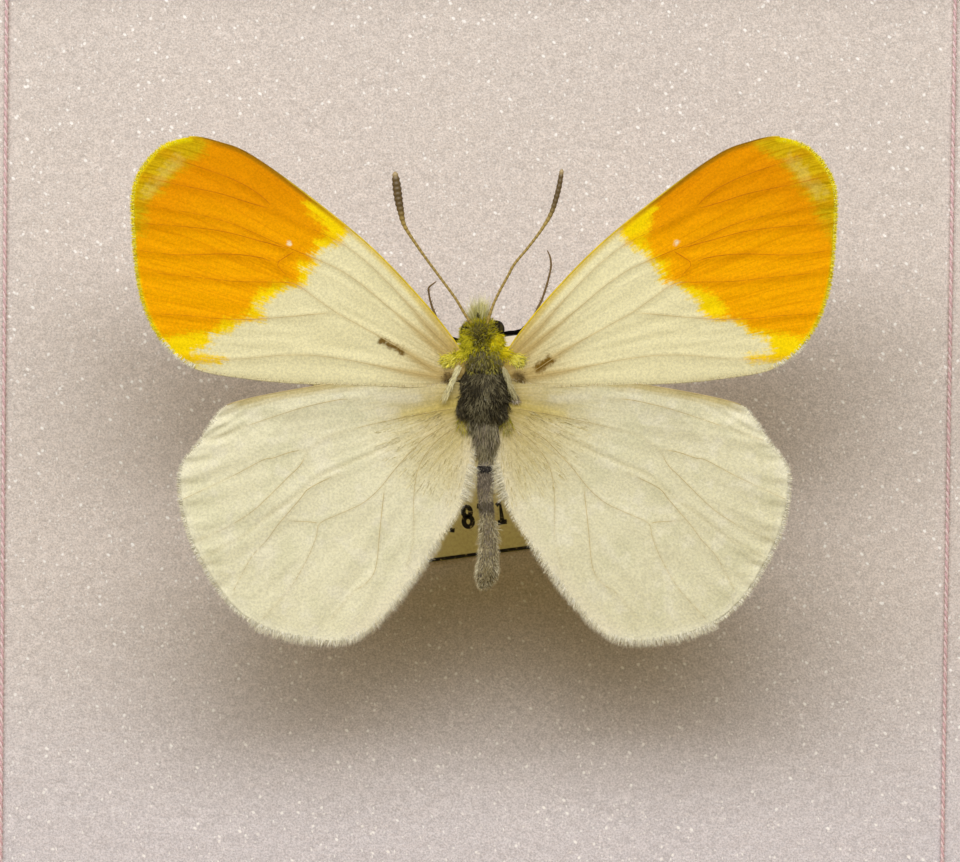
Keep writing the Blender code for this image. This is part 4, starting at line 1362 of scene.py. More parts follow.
def hindwing_finish(word):
    wing = Finish(f"hindwing_scales_painted_lit_{word}")
    feather = scale_grain(wing, 90, 7)
    fine = scale_grain(wing, 300, 50)
    cloud = wing.noise(4.0 * MM, 3)
    dust = wing.noise(0.14 * MM, 2, 0.7)
    vein = wing.value("vein")
    cream = wing.mix(cloud, *HIND_CREAM_PAINTED_LIT[word])
    cream = wing.mix(wing.step(fine, 0.35, 0.7, 0.0, 0.3), cream, (0.84, 0.81, 0.66))
    marble = wing.noise(2.2 * MM, 3, 0.6)
    colour = wing.mix(wing.step(marble, 0.48, 0.66, 0.0, 0.3), cream, (0.60, 0.59, 0.38))
    bleached = wing.step(wing.noise(1.7 * MM, 3, 0.65), 0.5, 0.66, 0.0, 0.4)
    colour = wing.mix(bleached, colour, (0.87, 0.83, 0.68))
    root = wing.uneven("reach", feather, 5.0)
    colour = wing.lay(colour, (0.50, 0.38, 0.10), root, 3.0, 10.5, 0.8)
    colour = wing.lay(colour, (0.30, 0.22, 0.045), root, 1.8, 5.0, 0.6)
    cell = wing.uneven("cell", marble, 0.8)
    colour = wing.lay(colour, (0.79, 0.745, 0.57), cell, 0.4, 1.0, 0.6)
    stain = wing.uneven("stain", marble, 0.9)
    colour = wing.lay(colour, (0.60, 0.47, 0.10), stain, 0.35, 1.25, 0.6)
    streaks = wing.step(scale_grain(wing, 22, 1.2), 0.46, 0.62)
    streaks = wing.times(streaks, wing.step(wing.value("reach"), 2.0, 7.0, 0.25, 0.0))
    colour = wing.mix(streaks, colour, (0.33, 0.25, 0.06))
    costal = wing.step(wing.uneven("costa", feather, 0.6), 0.35, 1.0, 0.7, 0.0)
    costal = wing.times(costal, wing.step(wing.value("reach"), 3.5, 7.0))
    colour = wing.mix(costal, colour, (0.45, 0.34, 0.09))
    colour = wing.lay(colour, (0.84, 0.805, 0.63), wing.value("rim"), 0.1, 0.9, 0.6)
    colour = wing.lay(colour, (0.80, 0.73, 0.55), wing.value("inner"), 0.1, 1.4, 0.5)
    colour = wing.lay(colour, (0.46, 0.37, 0.17), vein, 0.03, 0.2, 0.15)
    # Painted shade: the membrane is darker along the crease.
    crease = wing.uneven("crease", dust, 0.1)
    colour = wing.lay(colour, (0.50, 0.42, 0.20), crease, 0.08, 0.26, 0.2)
    colour = wing.mix(1.0, colour, wing.step(dust, 0.25, 0.75, 0.86, 1.13), "MULTIPLY")
    marbling = wing.plus(wing.noise(1.5 * MM, 4, 0.65), wing.times(feather, 0.12))
    below = wing.mix(wing.step(marbling, 0.53, 0.6), (0.76, 0.74, 0.60), (0.30, 0.31, 0.10))
    return scaly_surface(wing, colour, below, fine, dust, 0.035 * MM, 0.55)


fore_material = forewing_finish()
for word in SIDES:
    dress(wings[f"forewing_{word}"], f"forewing_{word}", fore_material)
    hind_material = hindwing_finish(word)
    dress(wings[f"hindwing_{word}"], f"hindwing_{word}", hind_material)

# %% [markdown]
# ## Wings: veins
#
# The veins are fine tubes, half sunk in the membrane, that taper from the root to the margin. In the
# orange tip they are a darker orange, and elsewhere a pale brown. The costa along the front edge is
# ochre with a brown stretch. The mesh carries that colour.

# %% Vein tubes
# Each pair of radii holds for the root and for the end.
FORE_VEIN_RADII = (0.037, 0.02)
HIND_VEIN_RADII = (0.0333, 0.02)
FORE_COSTA_RADII = (0.06, 0.045)
HIND_COSTA_RADII = (0.05, 0.04)
VEIN_SINK = 0.022
VEIN_STEP = 0.22
BROWN_COSTA = (10.0, 17.4)


def paint(piece, colours):
    """Lets the mesh carry one colour at each of its points."""
    made = piece.data.color_attributes.new("tint", "FLOAT_COLOR", "POINT")
    four = np.column_stack((colours, np.ones(len(colours))))
    made.data.foreach_set("color", four.astype(np.float32).ravel())


def between(share, first, second):
    """Colours from the first to the second, by a share for each point."""
    share = share[:, None]
    return (1 - share) * np.array(first) + share * np.array(second)


def points_of(piece):
    """The points of a mesh, in mm about the middle of the wings."""
    return (vertices_of(piece) - np.array(SPECIMEN)) / MM


def vein_tube(line, height, side, seed, start, end):
    """A tapering tube on the wing along a line of its points."""
    count = max(8, int(length_of(line) / VEIN_STEP))
    route = spaced(line, np.linspace(0, 1, count))
    level = height(route, seed) - VEIN_SINK
    placed = np.column_stack((route, level)) * (side, 1, 1) + np.array(SPECIMEN) / MM
    swelling = 0.4 + 0.6 * fade(np.linspace(0, 1, count), 0.0, 0.12)
    return tube("vein", placed, np.linspace(start, end, count) * swelling, sides=6)


def vein_colours(places, border):
    """Dull orange inside the tip, pale brown outside it, and an ochre costa with a brown stretch."""
    flat = np.column_stack((np.abs(places[:, 0]), places[:, 1]))
    near = fade(-np.linalg.norm(flat, axis=1), -9, -3)
    cream = between(near, (0.56, 0.46, 0.24), (0.40, 0.29, 0.11))
    plain = between(fade(signed(flat, border, TIP_OUTSIDE), -0.6, 0.6), cream, (0.50, 0.16, 0.0))
    start, end = BROWN_COSTA
    brown = fade(flat[:, 0], start, start + 3) * fade(-flat[:, 0], -end, -end + 1)
    front = between(brown, (0.68, 0.50, 0.03), (0.28, 0.145, 0.006))
    on_costa = (distance_to(flat, fore_edges["costa"]) < 0.13)[:, None]
    return np.where(on_costa, front, plain)


vein_finish = Finish("wing_veins")
vein_dust = vein_finish.noise(0.6 * MM, 3)
vein_worn = vein_finish.step(vein_dust, 0.4, 0.65)
vein_tint = vein_finish.mix(vein_worn, vein_finish.colour("tint"), (1.25, 1.25, 1.25), way="MULTIPLY")
vein_finish.surface(Base_Color=vein_tint, Roughness=0.6, Specular_IOR_Level=0.1)
for word, (side, seed) in SIDES.items():
    made = [vein_tube(line, fore_height, side, seed, *FORE_VEIN_RADII) for line in fore_veins]
    made.append(vein_tube(fore_edges["costa"], fore_height, side, seed, *FORE_COSTA_RADII))
    fore = join(made)
    paint(fore, vein_colours(points_of(fore), TIP_BORDER[word]))
    bpy.ops.object.shade_smooth()
    dress(fore, f"forewing_veins_{word}", vein_finish.material)
    made = [vein_tube(line, hind_height, side, seed, *HIND_VEIN_RADII) for line in hind_veins]
    exposed = hind_edges["costa"][hind_edges["costa"][:, 0] > 8.5]
    made.append(vein_tube(exposed, hind_height, side, seed, *HIND_COSTA_RADII))
    hind = join(made)
    reach = np.linalg.norm(points_of(hind)[:, :2], axis=1)
    paint(hind, between(fade(-reach, -9, -3), (0.50, 0.405, 0.20), (0.36, 0.27, 0.10)))
    bpy.ops.object.shade_smooth()
    dress(hind, f"hindwing_veins_{word}", vein_finish.material)

# %% [markdown]
# ## Hair
#
# The body is covered in fine hair, and so are the margins of the wings. Hair could come from a
# particle system, but only meshes can be handed on, so each hair is a three-sided spike of seven
# points, a little bent. Thousands of them are worked out at once and joined in one mesh, which carries
# their colours. A hair starts where it grows, leans the way the coat is combed, and is darker at its
# root. The yellow tufts are so bright that they have a finish of their own.

# %% Helpers for hair
# Each ring of a hair: how far along it, and how wide for the hair's width.
HAIR_RINGS = ((0.0, 1.0), (0.55, 0.72))
rng = np.random.default_rng(11)
hair_finish = Finish("body_hair")
hair_finish.surface(
    Base_Color=hair_finish.colour("tint"), Roughness=0.6, Specular_IOR_Level=0.15,
)


def unit(vectors):
    return vectors / np.linalg.norm(vectors, axis=1)[:, None]


def coat(roots, aims, length, width, tints, spread=0.3):
    """Hairs from their roots (mm), the ways they point, and the colours that they are drawn from."""
    count = len(roots)
    aims = unit(unit(np.asarray(aims, float)) + rng.normal(size=(count, 3)) * spread)
    lengths = np.asarray(length) * rng.uniform(0.55, 1.15, count)
    colours = np.array(tints)[rng.integers(0, len(tints), count)] * rng.uniform(0.75, 1.2, (count, 1))
    return np.asarray(roots, float), aims, lengths, np.full(count, width), colours


def on_ball(count, centre, half, keep=None):
    """Random places on an ellipsoid in mm, and the ways out of it."""
    ways = unit(rng.normal(size=(count, 3)))
    roots = np.array(centre) + ways * np.array(half) * 0.97
    outward = unit(ways / np.array(half))
    if keep is not None:
        kept = keep(roots)
        roots, outward = roots[kept], outward[kept]
    return roots, outward


def combed(outward, way, lift):
    """Hair that lies along a way and stands off its skin by a share."""
    return outward * lift + np.asarray(way)


def leaning(across, ahead, up=0.0):
    """A way for each hair, where only the part across differs from hair to hair."""
    return np.column_stack(np.broadcast_arrays(across, ahead, up))


def tuft(count, middle, half, way, lift, length, width, tints, spread=0.3, keep=None):
    """Hair all over an ellipsoid, or where a test keeps it, combed along one way."""
    roots, outward = on_ball(count, middle, half, keep)
    return coat(roots, combed(outward, way, lift), length, width, tints, spread)


def hair_piece(name, coats, bend=0.25, root_shade=0.6, finish=hair_finish):
    """Joins the hairs of several coats in one mesh. Flat faces keep a thin spike bright to its tip."""
    roots, aims, lengths, widths, colours = (np.concatenate(item) for item in zip(*coats))
    count = len(roots)
    side = unit(np.cross(aims, rng.normal(size=(count, 3))))
    other = np.cross(aims, side)
    lengths, widths = lengths[:, None], widths[:, None]
    curl = side * lengths * rng.uniform(0.2, 1.0, (count, 1)) * bend
    rings = []
    for share, wide in HAIR_RINGS:
        middle = roots + aims * lengths * share + curl * share ** 2
        for corner in range(3):
            angle = 2 * math.pi * corner / 3
            rings.append(middle + widths * wide * (side * math.cos(angle) + other * math.sin(angle)))
    rings.append(roots + aims * lengths + curl)
    places = np.stack(rings, axis=1).reshape(-1, 3) * MM + np.array(SPECIMEN)
    one_hair = (
        (0, 1, 4, 3), (1, 2, 5, 4), (2, 0, 3, 5), (3, 4, 6), (4, 5, 6), (5, 3, 6), (2, 1, 0),
    )
    faces = [[7 * i + corner for corner in face] for i in range(count) for face in one_hair]
    mesh = bpy.data.meshes.new(name)
    mesh.from_pydata(places.tolist(), [], faces)
    made = linked(name, mesh)
    # Painted shade: each hair is darker at its root, deep in the coat, and a little brighter at its tip.
    shade = np.array([root_shade] * 3 + [1.0] * 3 + [1.1])
    paint(made, (colours[:, None, :] * shade[None, :, None]).reshape(-1, 3))
    dress(made, name, finish.material)


tuft_finish = Finish("tuft_hair")
# Light also comes through pale hair, so its faces are shaded as if turned more towards the sky.
hair_normal = tuft_finish.node("NewGeometry")["Normal"]
skyward = tuft_finish.vector("MULTIPLY_ADD", hair_normal, (0.4, 0.4, 0.4), (0, 0, 0.6))
tuft_finish.surface(
    Base_Color=tuft_finish.colour("tint"), Roughness=0.6, Specular_IOR_Level=0.1,
    Normal=tuft_finish.vector("NORMALIZE", skyward[0])[0],
)
DARK_HAIR = ((0.05, 0.04, 0.02), (0.085, 0.07, 0.037), (0.03, 0.024, 0.013))
DUSK_HAIR = ((0.18, 0.155, 0.085), (0.25, 0.22, 0.125), (0.125, 0.105, 0.055))
SILVER_HAIR = ((0.42, 0.375, 0.25), (0.33, 0.29, 0.185))
LEMON_HAIR = ((0.90, 0.80, 0.10), (0.84, 0.73, 0.06), (0.92, 0.84, 0.20))
CHEEK_HAIR = ((0.56, 0.50, 0.012), (0.66, 0.58, 0.02), (0.46, 0.40, 0.02))
OCHRE_HAIR = ((0.70, 0.56, 0.003), (0.56, 0.44, 0.003), (0.76, 0.65, 0.01))
OLIVE_HAIR = ((0.27, 0.235, 0.06), (0.18, 0.155, 0.045), (0.40, 0.36, 0.10))
FACE_HAIR = ((0.74, 0.70, 0.33), (0.82, 0.79, 0.52), (0.60, 0.56, 0.16))
PALE_HAIR = ((0.56, 0.49, 0.31), (0.40, 0.34, 0.20), (0.72, 0.66, 0.46))
LILAC_HAIR = ((0.25, 0.206, 0.15), (0.36, 0.30, 0.22), (0.15, 0.122, 0.088))
CREAM_HAIR = ((0.79, 0.74, 0.56), (0.73, 0.67, 0.48), (0.84, 0.80, 0.64))
BROWN_HAIR = ((0.10, 0.06, 0.018), (0.16, 0.105, 0.035), (0.24, 0.16, 0.055))

# %% [markdown]
# ## Body
#
# Under the hair the body has three parts: a round head, a strong thorax that carries the wings, and a
# slim abdomen of ring after ring. Head and thorax start as spheres at their sizes and are pressed into
# shape point by point, and they are painted like the hair over them, so that no gap shows. So is the
# core of each yellow tuft. The abdomen is spun from its outline, in which each ring swells a little.

# %% Body core
def swollen(name, centre, half, seed, depth=0.06):
    """A ball pressed into an uneven, living form."""
    bpy.ops.mesh.primitive_uv_sphere_add(segments=36, ring_count=22, radius=1)
    ball = bpy.context.object
    for vert in ball.data.vertices:
        way = vert.co.normalized()
        uneven = 1 + depth * noise.noise(way * 2.3 + Vector((seed, 0, 0)))
        place = Vector(centre) + Vector(a * b for a, b in zip(way, half)) * uneven
        vert.co = SPECIMEN + place * MM
    only(ball)
    bpy.ops.object.shade_smooth()
    ball.name = name
    return ball


def core_colours(places):
    """Dark brown on the thorax, olive to yellow on the head and collar, grey on the waist."""
    beside = fade(np.abs(places[:, 0] + 0.15), 0.35, 1.0)
    front = between(beside, (0.10, 0.085, 0.028), (0.38, 0.32, 0.015))
    back = between(fade(-places[:, 1], 1.2, 2.6), (0.045, 0.038, 0.022), (0.21, 0.185, 0.12))
    return between(fade(places[:, 1], 1.0, 1.8), back, front)


core = join([
    swollen("thorax", (0.05, -0.5, -0.75), (1.55, 1.8, 1.45), 1),
    swollen("neck", (0.0, 1.6, -0.65), (1.3, 1.1, 0.95), 2),
    swollen("waist", (0.1, -2.6, -0.75), (0.75, 1.6, 0.7), 3),
    swollen("head", (-0.19, 3.4, -0.65), (1.0, 0.75, 0.8), 4),
])
paint(core, core_colours(points_of(core)))
dress(core, "head_and_thorax", hair_finish.material)
YELLOW_TUFTS = (
    # middle, half sizes, way of the hair, tints of the hair, number of hairs
    ((-0.98, 2.75, -0.25), (0.36, 0.75, 0.4), (-0.4, -0.6, 0.1), CHEEK_HAIR, 620),
    ((0.68, 2.75, -0.25), (0.4, 0.75, 0.4), (0.4, -0.6, 0.1), OCHRE_HAIR + CHEEK_HAIR[:1], 620),
    ((-1.42, 2.1, -0.25), (0.66, 0.46, 0.35), (-0.6, -0.5, 0.1), CHEEK_HAIR[:2] + LEMON_HAIR[1:2], 700),
    ((1.3, 2.12, -0.25), (0.64, 0.48, 0.35), (0.6, -0.5, 0.1), OCHRE_HAIR, 700),
    ((-2.02, 1.82, -0.1), (0.5, 0.36, 0.28), (-0.9, -0.5, 0.1), LEMON_HAIR, 680),
    ((1.9, 1.85, -0.1), (0.46, 0.38, 0.28), (0.9, -0.5, 0.1), LEMON_HAIR, 680),
)
cores = []
for middle, half, way, tints, count in YELLOW_TUFTS:
    ball = swollen("tuft", middle, half, 5)
    paint(ball, np.tile(np.array(tints[0]), (len(ball.data.vertices), 1)))
    cores.append(ball)
dress(join(cores), "tuft_cores", tuft_finish.material)

# %% Eyes
eye_finish = Finish("eye")
facets = eye_finish.cells(0.045 * MM)
eye_tone = eye_finish.noise(0.35 * MM, 2)
eye_tone = eye_finish.step(eye_tone, 0.4, 0.62)
eye_finish.surface(
    Base_Color=eye_finish.mix(eye_tone, (0.006, 0.005, 0.003), (0.06, 0.048, 0.016)), Roughness=0.4,
    Specular_IOR_Level=0.05, Normal=eye_finish.bump(facets, 0.02 * MM, 0.4),
)
EYES = (
    # side, middle, half sizes
    ("left", (-1.06, 3.5, -0.62), (0.38, 0.5, 0.56)), ("right", (0.76, 3.62, -0.62), (0.46, 0.54, 0.58)),
)
for word, centre, half in EYES:
    eye = swollen(f"eye_{word}", centre, half, 8, depth=0.02)
    dress(eye, f"eye_{word}", eye_finish.material)

# %% Abdomen
ABDOMEN_AT = Vector((0.1, -4.5, -0.85))
ABDOMEN_DOWN = math.radians(3)
ABDOMEN_OUTLINE = (
    (-0.85, 0.05), (-0.6, 0.28), (-0.3, 0.36), (0.0, 0.47), (0.3, 0.48), (0.7, 0.45), (1.2, 0.42),
    (1.7, 0.37), (2.4, 0.37), (3.4, 0.38), (4.4, 0.43), (5.4, 0.5), (6.15, 0.6), (6.7, 0.5), (7.1, 0.28),
    (7.35, 0.08),
)
ABDOMEN_SWAY = (
    (-0.85, 0.0), (0.5, 0.0), (1.7, -0.04), (3.4, 0.12), (4.4, 0.18), (5.4, 0.14), (6.3, 0.06), (7.35, -0.1),
)
RING_LENGTH = 1.02
RING_SWELL = 0.045


def abdomen_radius(along):
    outline = np.array(ABDOMEN_OUTLINE)
    smooth = smooth_line(outline, 8)
    plain = np.interp(along, smooth[:, 0], smooth[:, 1])
    ring = np.mod(along + 0.2, RING_LENGTH) / RING_LENGTH
    return plain * (1 + RING_SWELL * (np.sin(math.pi * ring) ** 0.5 - 0.5))


def abdomen_sway(along):
    """How far the dried abdomen bends to its right, in mm."""
    return np.interp(along, *np.array(ABDOMEN_SWAY).T)


def on_abdomen(along, angle, lift=0.0):
    """Places in mm on the abdomen's skin. Angle 0 is its right side, and 90 degrees its back."""
    radius = abdomen_radius(along) + lift
    way_y, way_z = -math.cos(ABDOMEN_DOWN), -math.sin(ABDOMEN_DOWN)
    x = ABDOMEN_AT.x + abdomen_sway(along) + radius * np.cos(angle)
    y = ABDOMEN_AT.y + along * way_y + radius * np.sin(angle) * way_z
    z = ABDOMEN_AT.z + along * way_z - radius * np.sin(angle) * way_y
    return np.column_stack((x, y, z))


marks = np.linspace(ABDOMEN_OUTLINE[0][0], ABDOMEN_OUTLINE[-1][0], 110)
abdomen_profile = [(abdomen_radius(mark), -mark) for mark in marks]
abdomen_profile = [(0.0, -marks[0]), *abdomen_profile, (0.0, -marks[-1])]
abdomen = turned_piece(
    abdomen_profile, SPECIMEN + ABDOMEN_AT * MM, (-math.pi / 2 + ABDOMEN_DOWN, 0, 0), steps=32,
)
for vert in abdomen.data.vertices:
    along = ABDOMEN_AT.y - (vert.co.y - SPECIMEN.y) / MM
    vert.co.x += abdomen_sway(along) * MM
bpy.ops.object.shade_smooth()
rings = Finish("abdomen_shell")
ring_place = rings.times(rings.part(rings.place, 1), 1 / (RING_LENGTH * MM))
ring_share = rings.math("FRACT", rings.plus(ring_place, 0.35))
ring_grain = rings.noise(0.16 * MM, 3, 0.6)
ring_tone = rings.mix(ring_grain, (0.085, 0.07, 0.05), (0.24, 0.20, 0.145))
ring_tone = rings.mix(rings.step(ring_share, 0.7, 0.95, 0.0, 0.5), ring_tone, (0.03, 0.026, 0.028))
rings.surface(Base_Color=ring_tone, Roughness=0.6, Normal=rings.bump(ring_grain, 0.04 * MM, 0.6))
dress(abdomen, "abdomen_rings", rings.material)

# %% [markdown]
# ## Coat of the body
#
# The thorax is dark grey and hairy, with paler streaks, and its hair runs back in a narrowing tail over
# the waist. An olive collar sits behind the head, with yellow tufts at each side. The head is olive,
# and a pale brush stands over the mouth. The abdomen has a black ring at its front, then short lilac
# scales, and beige hair from its middle on, with pale tufts at its sides.

# %% Thorax and waist hair
BACKWARD = np.array((0.0, -1.0, 0.0))


def patches(roots, size, level, seed):
    """True where slow noise at the roots is over a level, so that a coat is mottled."""
    return np.array([noise.noise(Vector(root) / size + Vector((seed, 0, 0))) for root in roots]) > level


coats = []
roots, outward = on_ball(4100, (0.05, -0.4, -0.72), (1.6, 1.85, 1.5), lambda p: p[:, 2] > -1.3)
aims = combed(outward, leaning(roots[:, 0] * 0.25, -0.9), 0.42)
stripe = np.abs(roots[:, 0] - 0.1) < rng.uniform(0.05, 0.3, len(roots))
pale = (patches(roots, 0.42, 0.1, 3.1) & (np.abs(roots[:, 0]) < 1.15)) | stripe
coats.append(coat(roots[~pale], aims[~pale], 0.45, 0.026, DARK_HAIR + DUSK_HAIR[2:], 0.25))
coats.append(coat(roots[pale], aims[pale], 0.45, 0.022, DUSK_HAIR + DUSK_HAIR[:1], 0.25))
DARK_TUFTS = ((-1.28, -1.05), (0.98, -1.25), (-1.12, 0.5), (1.12, 0.5))
tints = DARK_HAIR[:2] + DUSK_HAIR[2:]
for x, y in DARK_TUFTS:
    coats.append(tuft(380, (x, y, -0.1), (0.32, 0.55, 0.16), BACKWARD, 0.3, 0.4, 0.024, tints))
roots, outward = on_ball(560, (-0.28, -1.9, -0.3), (0.72, 0.6, 0.3))
narrowing = leaning(-0.5 * (roots[:, 0] + 0.2), -1.0)
coats.append(coat(roots, combed(outward, narrowing, 0.25), 0.6, 0.022, DUSK_HAIR + SILVER_HAIR, 0.2))
coats.append(tuft(
    700, (0.05, -0.5, -0.72), (1.6, 1.85, 1.5), BACKWARD * 0.5, 0.7, 0.75, 0.024, PALE_HAIR,
    keep=lambda p: p[:, 2] < -0.9,
))
roots, outward = on_ball(2300, (0.1, -2.3, -0.72), (0.85, 1.7, 0.8))
aims = combed(outward, leaning(-0.16 * roots[:, 0], -1.0), 0.25)
pale = patches(roots, 0.5, -0.1, 8.6)
tints = SILVER_HAIR + PALE_HAIR[1:2] + DUSK_HAIR[1:2]
coats.append(coat(roots[pale], aims[pale], 0.7, 0.02, tints, 0.18))
coats.append(coat(roots[~pale], aims[~pale], 0.7, 0.02, DUSK_HAIR[:2] + LILAC_HAIR[:2], 0.18))
tints = OLIVE_HAIR[2:] + CHEEK_HAIR[2:]
for x in (-1.2, 1.3):
    coats.append(tuft(130, (x, -2.0, -0.4), (0.4, 0.5, 0.25), BACKWARD, 0.4, 0.5, 0.017, tints))
hair_piece("thorax_hair", coats, bend=0.3, root_shade=0.7)

# %% Collar and head hair
coats = []
roots, outward = on_ball(2000, (0.0, 1.75, -0.55), (1.4, 0.95, 0.9), lambda p: p[:, 2] > -1.0)
bright = patches(roots, 0.35, 0.12, 5.2)
aims = combed(outward, BACKWARD * 0.7, 0.55)
coats.append(coat(roots[bright], aims[bright], 0.4, 0.024, OLIVE_HAIR[::2] + CHEEK_HAIR[2:], 0.3))
coats.append(coat(roots[~bright], aims[~bright], 0.4, 0.024, OLIVE_HAIR[:2] + DUSK_HAIR[:2], 0.3))
tints = OLIVE_HAIR[2:] + CHEEK_HAIR
coats.append(tuft(300, (0.05, 2.35, 0.05), (0.9, 0.3, 0.2), BACKWARD * 0.5, 0.6, 0.4, 0.024, tints))
hair_piece("collar_hair", coats, root_shade=0.9)
coats = []
for middle, half, way, tints, count in YELLOW_TUFTS:
    coats.append(tuft(count, middle, half, way, 0.3, 0.42, 0.028, tints, 0.32))
hair_piece("yellow_tufts", coats, root_shade=0.92, finish=tuft_finish)

coats = []
HEAD_MIDDLE = -0.22
forward = np.array((0.0, 0.35, 0.2))
roots, outward = on_ball(
    2600, (-0.19, 3.35, -0.55), (1.12, 0.85, 0.84),
    lambda p: (p[:, 2] > -1.1) & (p[:, 0] > -1.28) & (p[:, 0] < 0.7 - 0.3 * (p[:, 1] - 3.5)),
)
beside = np.abs(roots[:, 0] - HEAD_MIDDLE) > rng.uniform(0.2, 0.6, len(roots))
beside |= roots[:, 1] > 3.9
spread_out = combed(outward, forward, 0.7)
spread_out[:, 0] += 0.6 * (roots[:, 0] - HEAD_MIDDLE)
tints = OLIVE_HAIR[::2] + CHEEK_HAIR[2:]
coats.append(coat(roots[beside], spread_out[beside], 0.34, 0.022, CHEEK_HAIR + OLIVE_HAIR[2:], 0.3))
coats.append(coat(roots[~beside], spread_out[~beside], 0.3, 0.022, tints, 0.3))
tints = DARK_HAIR[1:] + OLIVE_HAIR
coats.append(tuft(45, (-0.36, 4.4, -0.15), (0.03, 0.15, 0.05), forward * 2, 0.4, 0.2, 0.016, tints))
coats.append(tuft(
    700, (-0.2, 3.3, -1.1), (0.9, 0.75, 0.5), forward, 0.8, 0.5, 0.022, PALE_HAIR, 0.35,
    keep=lambda p: p[:, 2] < -1.0,
))
FACE_BRUSH = (
    # number of hairs, place ahead, half width, length, tints
    (230, 4.2, 0.5, 1.25, FACE_HAIR[:2]), (330, 4.15, 0.5, 0.85, FACE_HAIR),
    (420, 4.2, 0.32, 0.6, FACE_HAIR[2:]),
)
for count, y, wide, length, tints in FACE_BRUSH:
    roots, outward = on_ball(count, (-0.3, y, -0.7), (wide, 0.5, 0.42))
    ahead = leaning(0.25 * (roots[:, 0] + 0.3), 1.0, 0.06)
    coats.append(coat(roots, combed(outward, ahead, 0.2), length, 0.013, tints, 0.16))
hair_piece("head_hair", coats, root_shade=0.85)

# %% Abdomen hair
def abdomen_coat(count, first, last, arc, length, lift, tints, side_only=False):
    """Hair between two places along the abdomen, over an arc of angles round it."""
    along = rng.uniform(first, last, count)
    angle = rng.uniform(*arc, count)
    if side_only:
        angle = np.where(rng.random(count) < 0.5, 0.0, math.pi) + rng.normal(size=count) * 0.35
    roots = on_abdomen(along, angle)
    outward = unit(on_abdomen(along, angle, 0.1) - roots)
    return coat(roots, combed(outward, BACKWARD, lift), length, 0.02, tints, 0.25)


TOP_ARC = (-0.35, math.pi + 0.35)
MID_ARC = (math.pi / 2 - 0.45, math.pi / 2 + 0.45)
LOW_ARC = (math.pi + 0.3, 2 * math.pi - 0.3)
RIGHT_ARC = (-0.4, 0.9)
BLACK_HAIR = ((0.02, 0.017, 0.015), (0.045, 0.038, 0.034))
BEIGE_HAIR = ((0.25, 0.20, 0.095), (0.35, 0.29, 0.155))
hair_piece("abdomen_hair", [
    abdomen_coat(200, -0.5, -0.1, TOP_ARC, 0.2, 0.35, SILVER_HAIR + PALE_HAIR[:2]),
    abdomen_coat(420, -0.02, 0.34, TOP_ARC, 0.2, 0.25, BLACK_HAIR),
    abdomen_coat(620, 0.36, 1.5, TOP_ARC, 0.24, 0.25, LILAC_HAIR),
    abdomen_coat(420, 1.3, 2.1, TOP_ARC, 0.24, 0.28, LILAC_HAIR[:2] + PALE_HAIR[1:2]),
    abdomen_coat(220, 0.9, 2.0, RIGHT_ARC, 0.26, 0.3, PALE_HAIR),
    abdomen_coat(480, 2.0, 2.85, TOP_ARC, 0.26, 0.3, LILAC_HAIR[2:] + DUSK_HAIR[2:] + LILAC_HAIR[:1]),
    abdomen_coat(1800, 2.75, 7.3, TOP_ARC, 0.27, 0.3, PALE_HAIR[:2] + BEIGE_HAIR),
    abdomen_coat(380, 3.1, 4.7, MID_ARC, 0.25, 0.28, LILAC_HAIR[:2] + BEIGE_HAIR[:1]),
    abdomen_coat(260, 5.9, 6.8, MID_ARC, 0.25, 0.28, BEIGE_HAIR),
    abdomen_coat(240, 3.2, 4.6, TOP_ARC, 0.5, 0.8, PALE_HAIR, side_only=True),
    abdomen_coat(560, 4.6, 7.3, TOP_ARC, 0.34, 0.55, PALE_HAIR[::2], side_only=True),
    abdomen_coat(700, 0.0, 7.3, LOW_ARC, 0.36, 0.35, PALE_HAIR),
], root_shade=0.75)

# %% [markdown]
# ## Shoulder strips and wing roots
#
# A scaly flap covers the root of each forewing. From above it is a narrow pale strip of long scales,
# laid backwards along the edge of the thorax, with a brown spot outside it. Soft hair also lies on the
# hindwings next to the body, and bridges the gap between their inner edges and the abdomen.

# %% Shoulder strips
SHOULDERS = (
    ((-1.46, 1.4, 0.4), (-1.78, 0.75, 0.44), (-2.07, 0.1, 0.38), (-2.4, -0.65, 0.16)),
    ((1.16, 1.3, 0.4), (1.38, 0.75, 0.44), (1.6, 0.1, 0.38), (1.84, -0.45, 0.16)),
)
SHOULDER_LIGHT = ((1.06, 1.05, 0.84), (0.78, 0.75, 0.56))
BEIGE_TUFT = ((0.50, 0.43, 0.32), (0.62, 0.55, 0.42), (0.40, 0.33, 0.24))
STRIP_HAIRS = 520
coats = []
for line, light in zip(SHOULDERS, SHOULDER_LIGHT):
    route = smooth_line(line, 6)
    share = rng.uniform(0, 0.9, STRIP_HAIRS) ** 1.15
    roots = spaced(route, share)
    ahead = spaced(route, share + 0.1) - roots
    roots = roots + rng.normal(size=roots.shape) * (0.07, 0.05, 0.04)
    coats.append(coat(roots, ahead, 0.5, 0.02, np.array(CREAM_HAIR) * light, 0.12))
SHOULDER_SPOTS = (
    # x, y, half size, number of hairs, tints
    (1.85, -0.55, 0.2, 90, BEIGE_TUFT), (-2.15, 0.83, 0.32, 260, BROWN_HAIR),
    (2.13, 0.83, 0.32, 260, BROWN_HAIR),
)
for x, y, half, count, tints in SHOULDER_SPOTS:
    way = (0.2 * x, -0.3, 0)
    coats.append(tuft(count, (x, y, -0.05), (half, half, 0.05), way, 0.4, 0.28, 0.017, tints, 0.4))
hair_piece("shoulder_scales", coats, bend=0.12, root_shade=0.85)

# %% [markdown]
# ## Fringes
#
# Long scales stand out all along the outer margins. They are short and yellow round the orange tip,
# dull along the forewing's hind edge, whitish elsewhere, and longest and softest along the inner edge
# of the hindwings. The membranes were made a little smaller than the outline, so that the fringe ends
# at it.

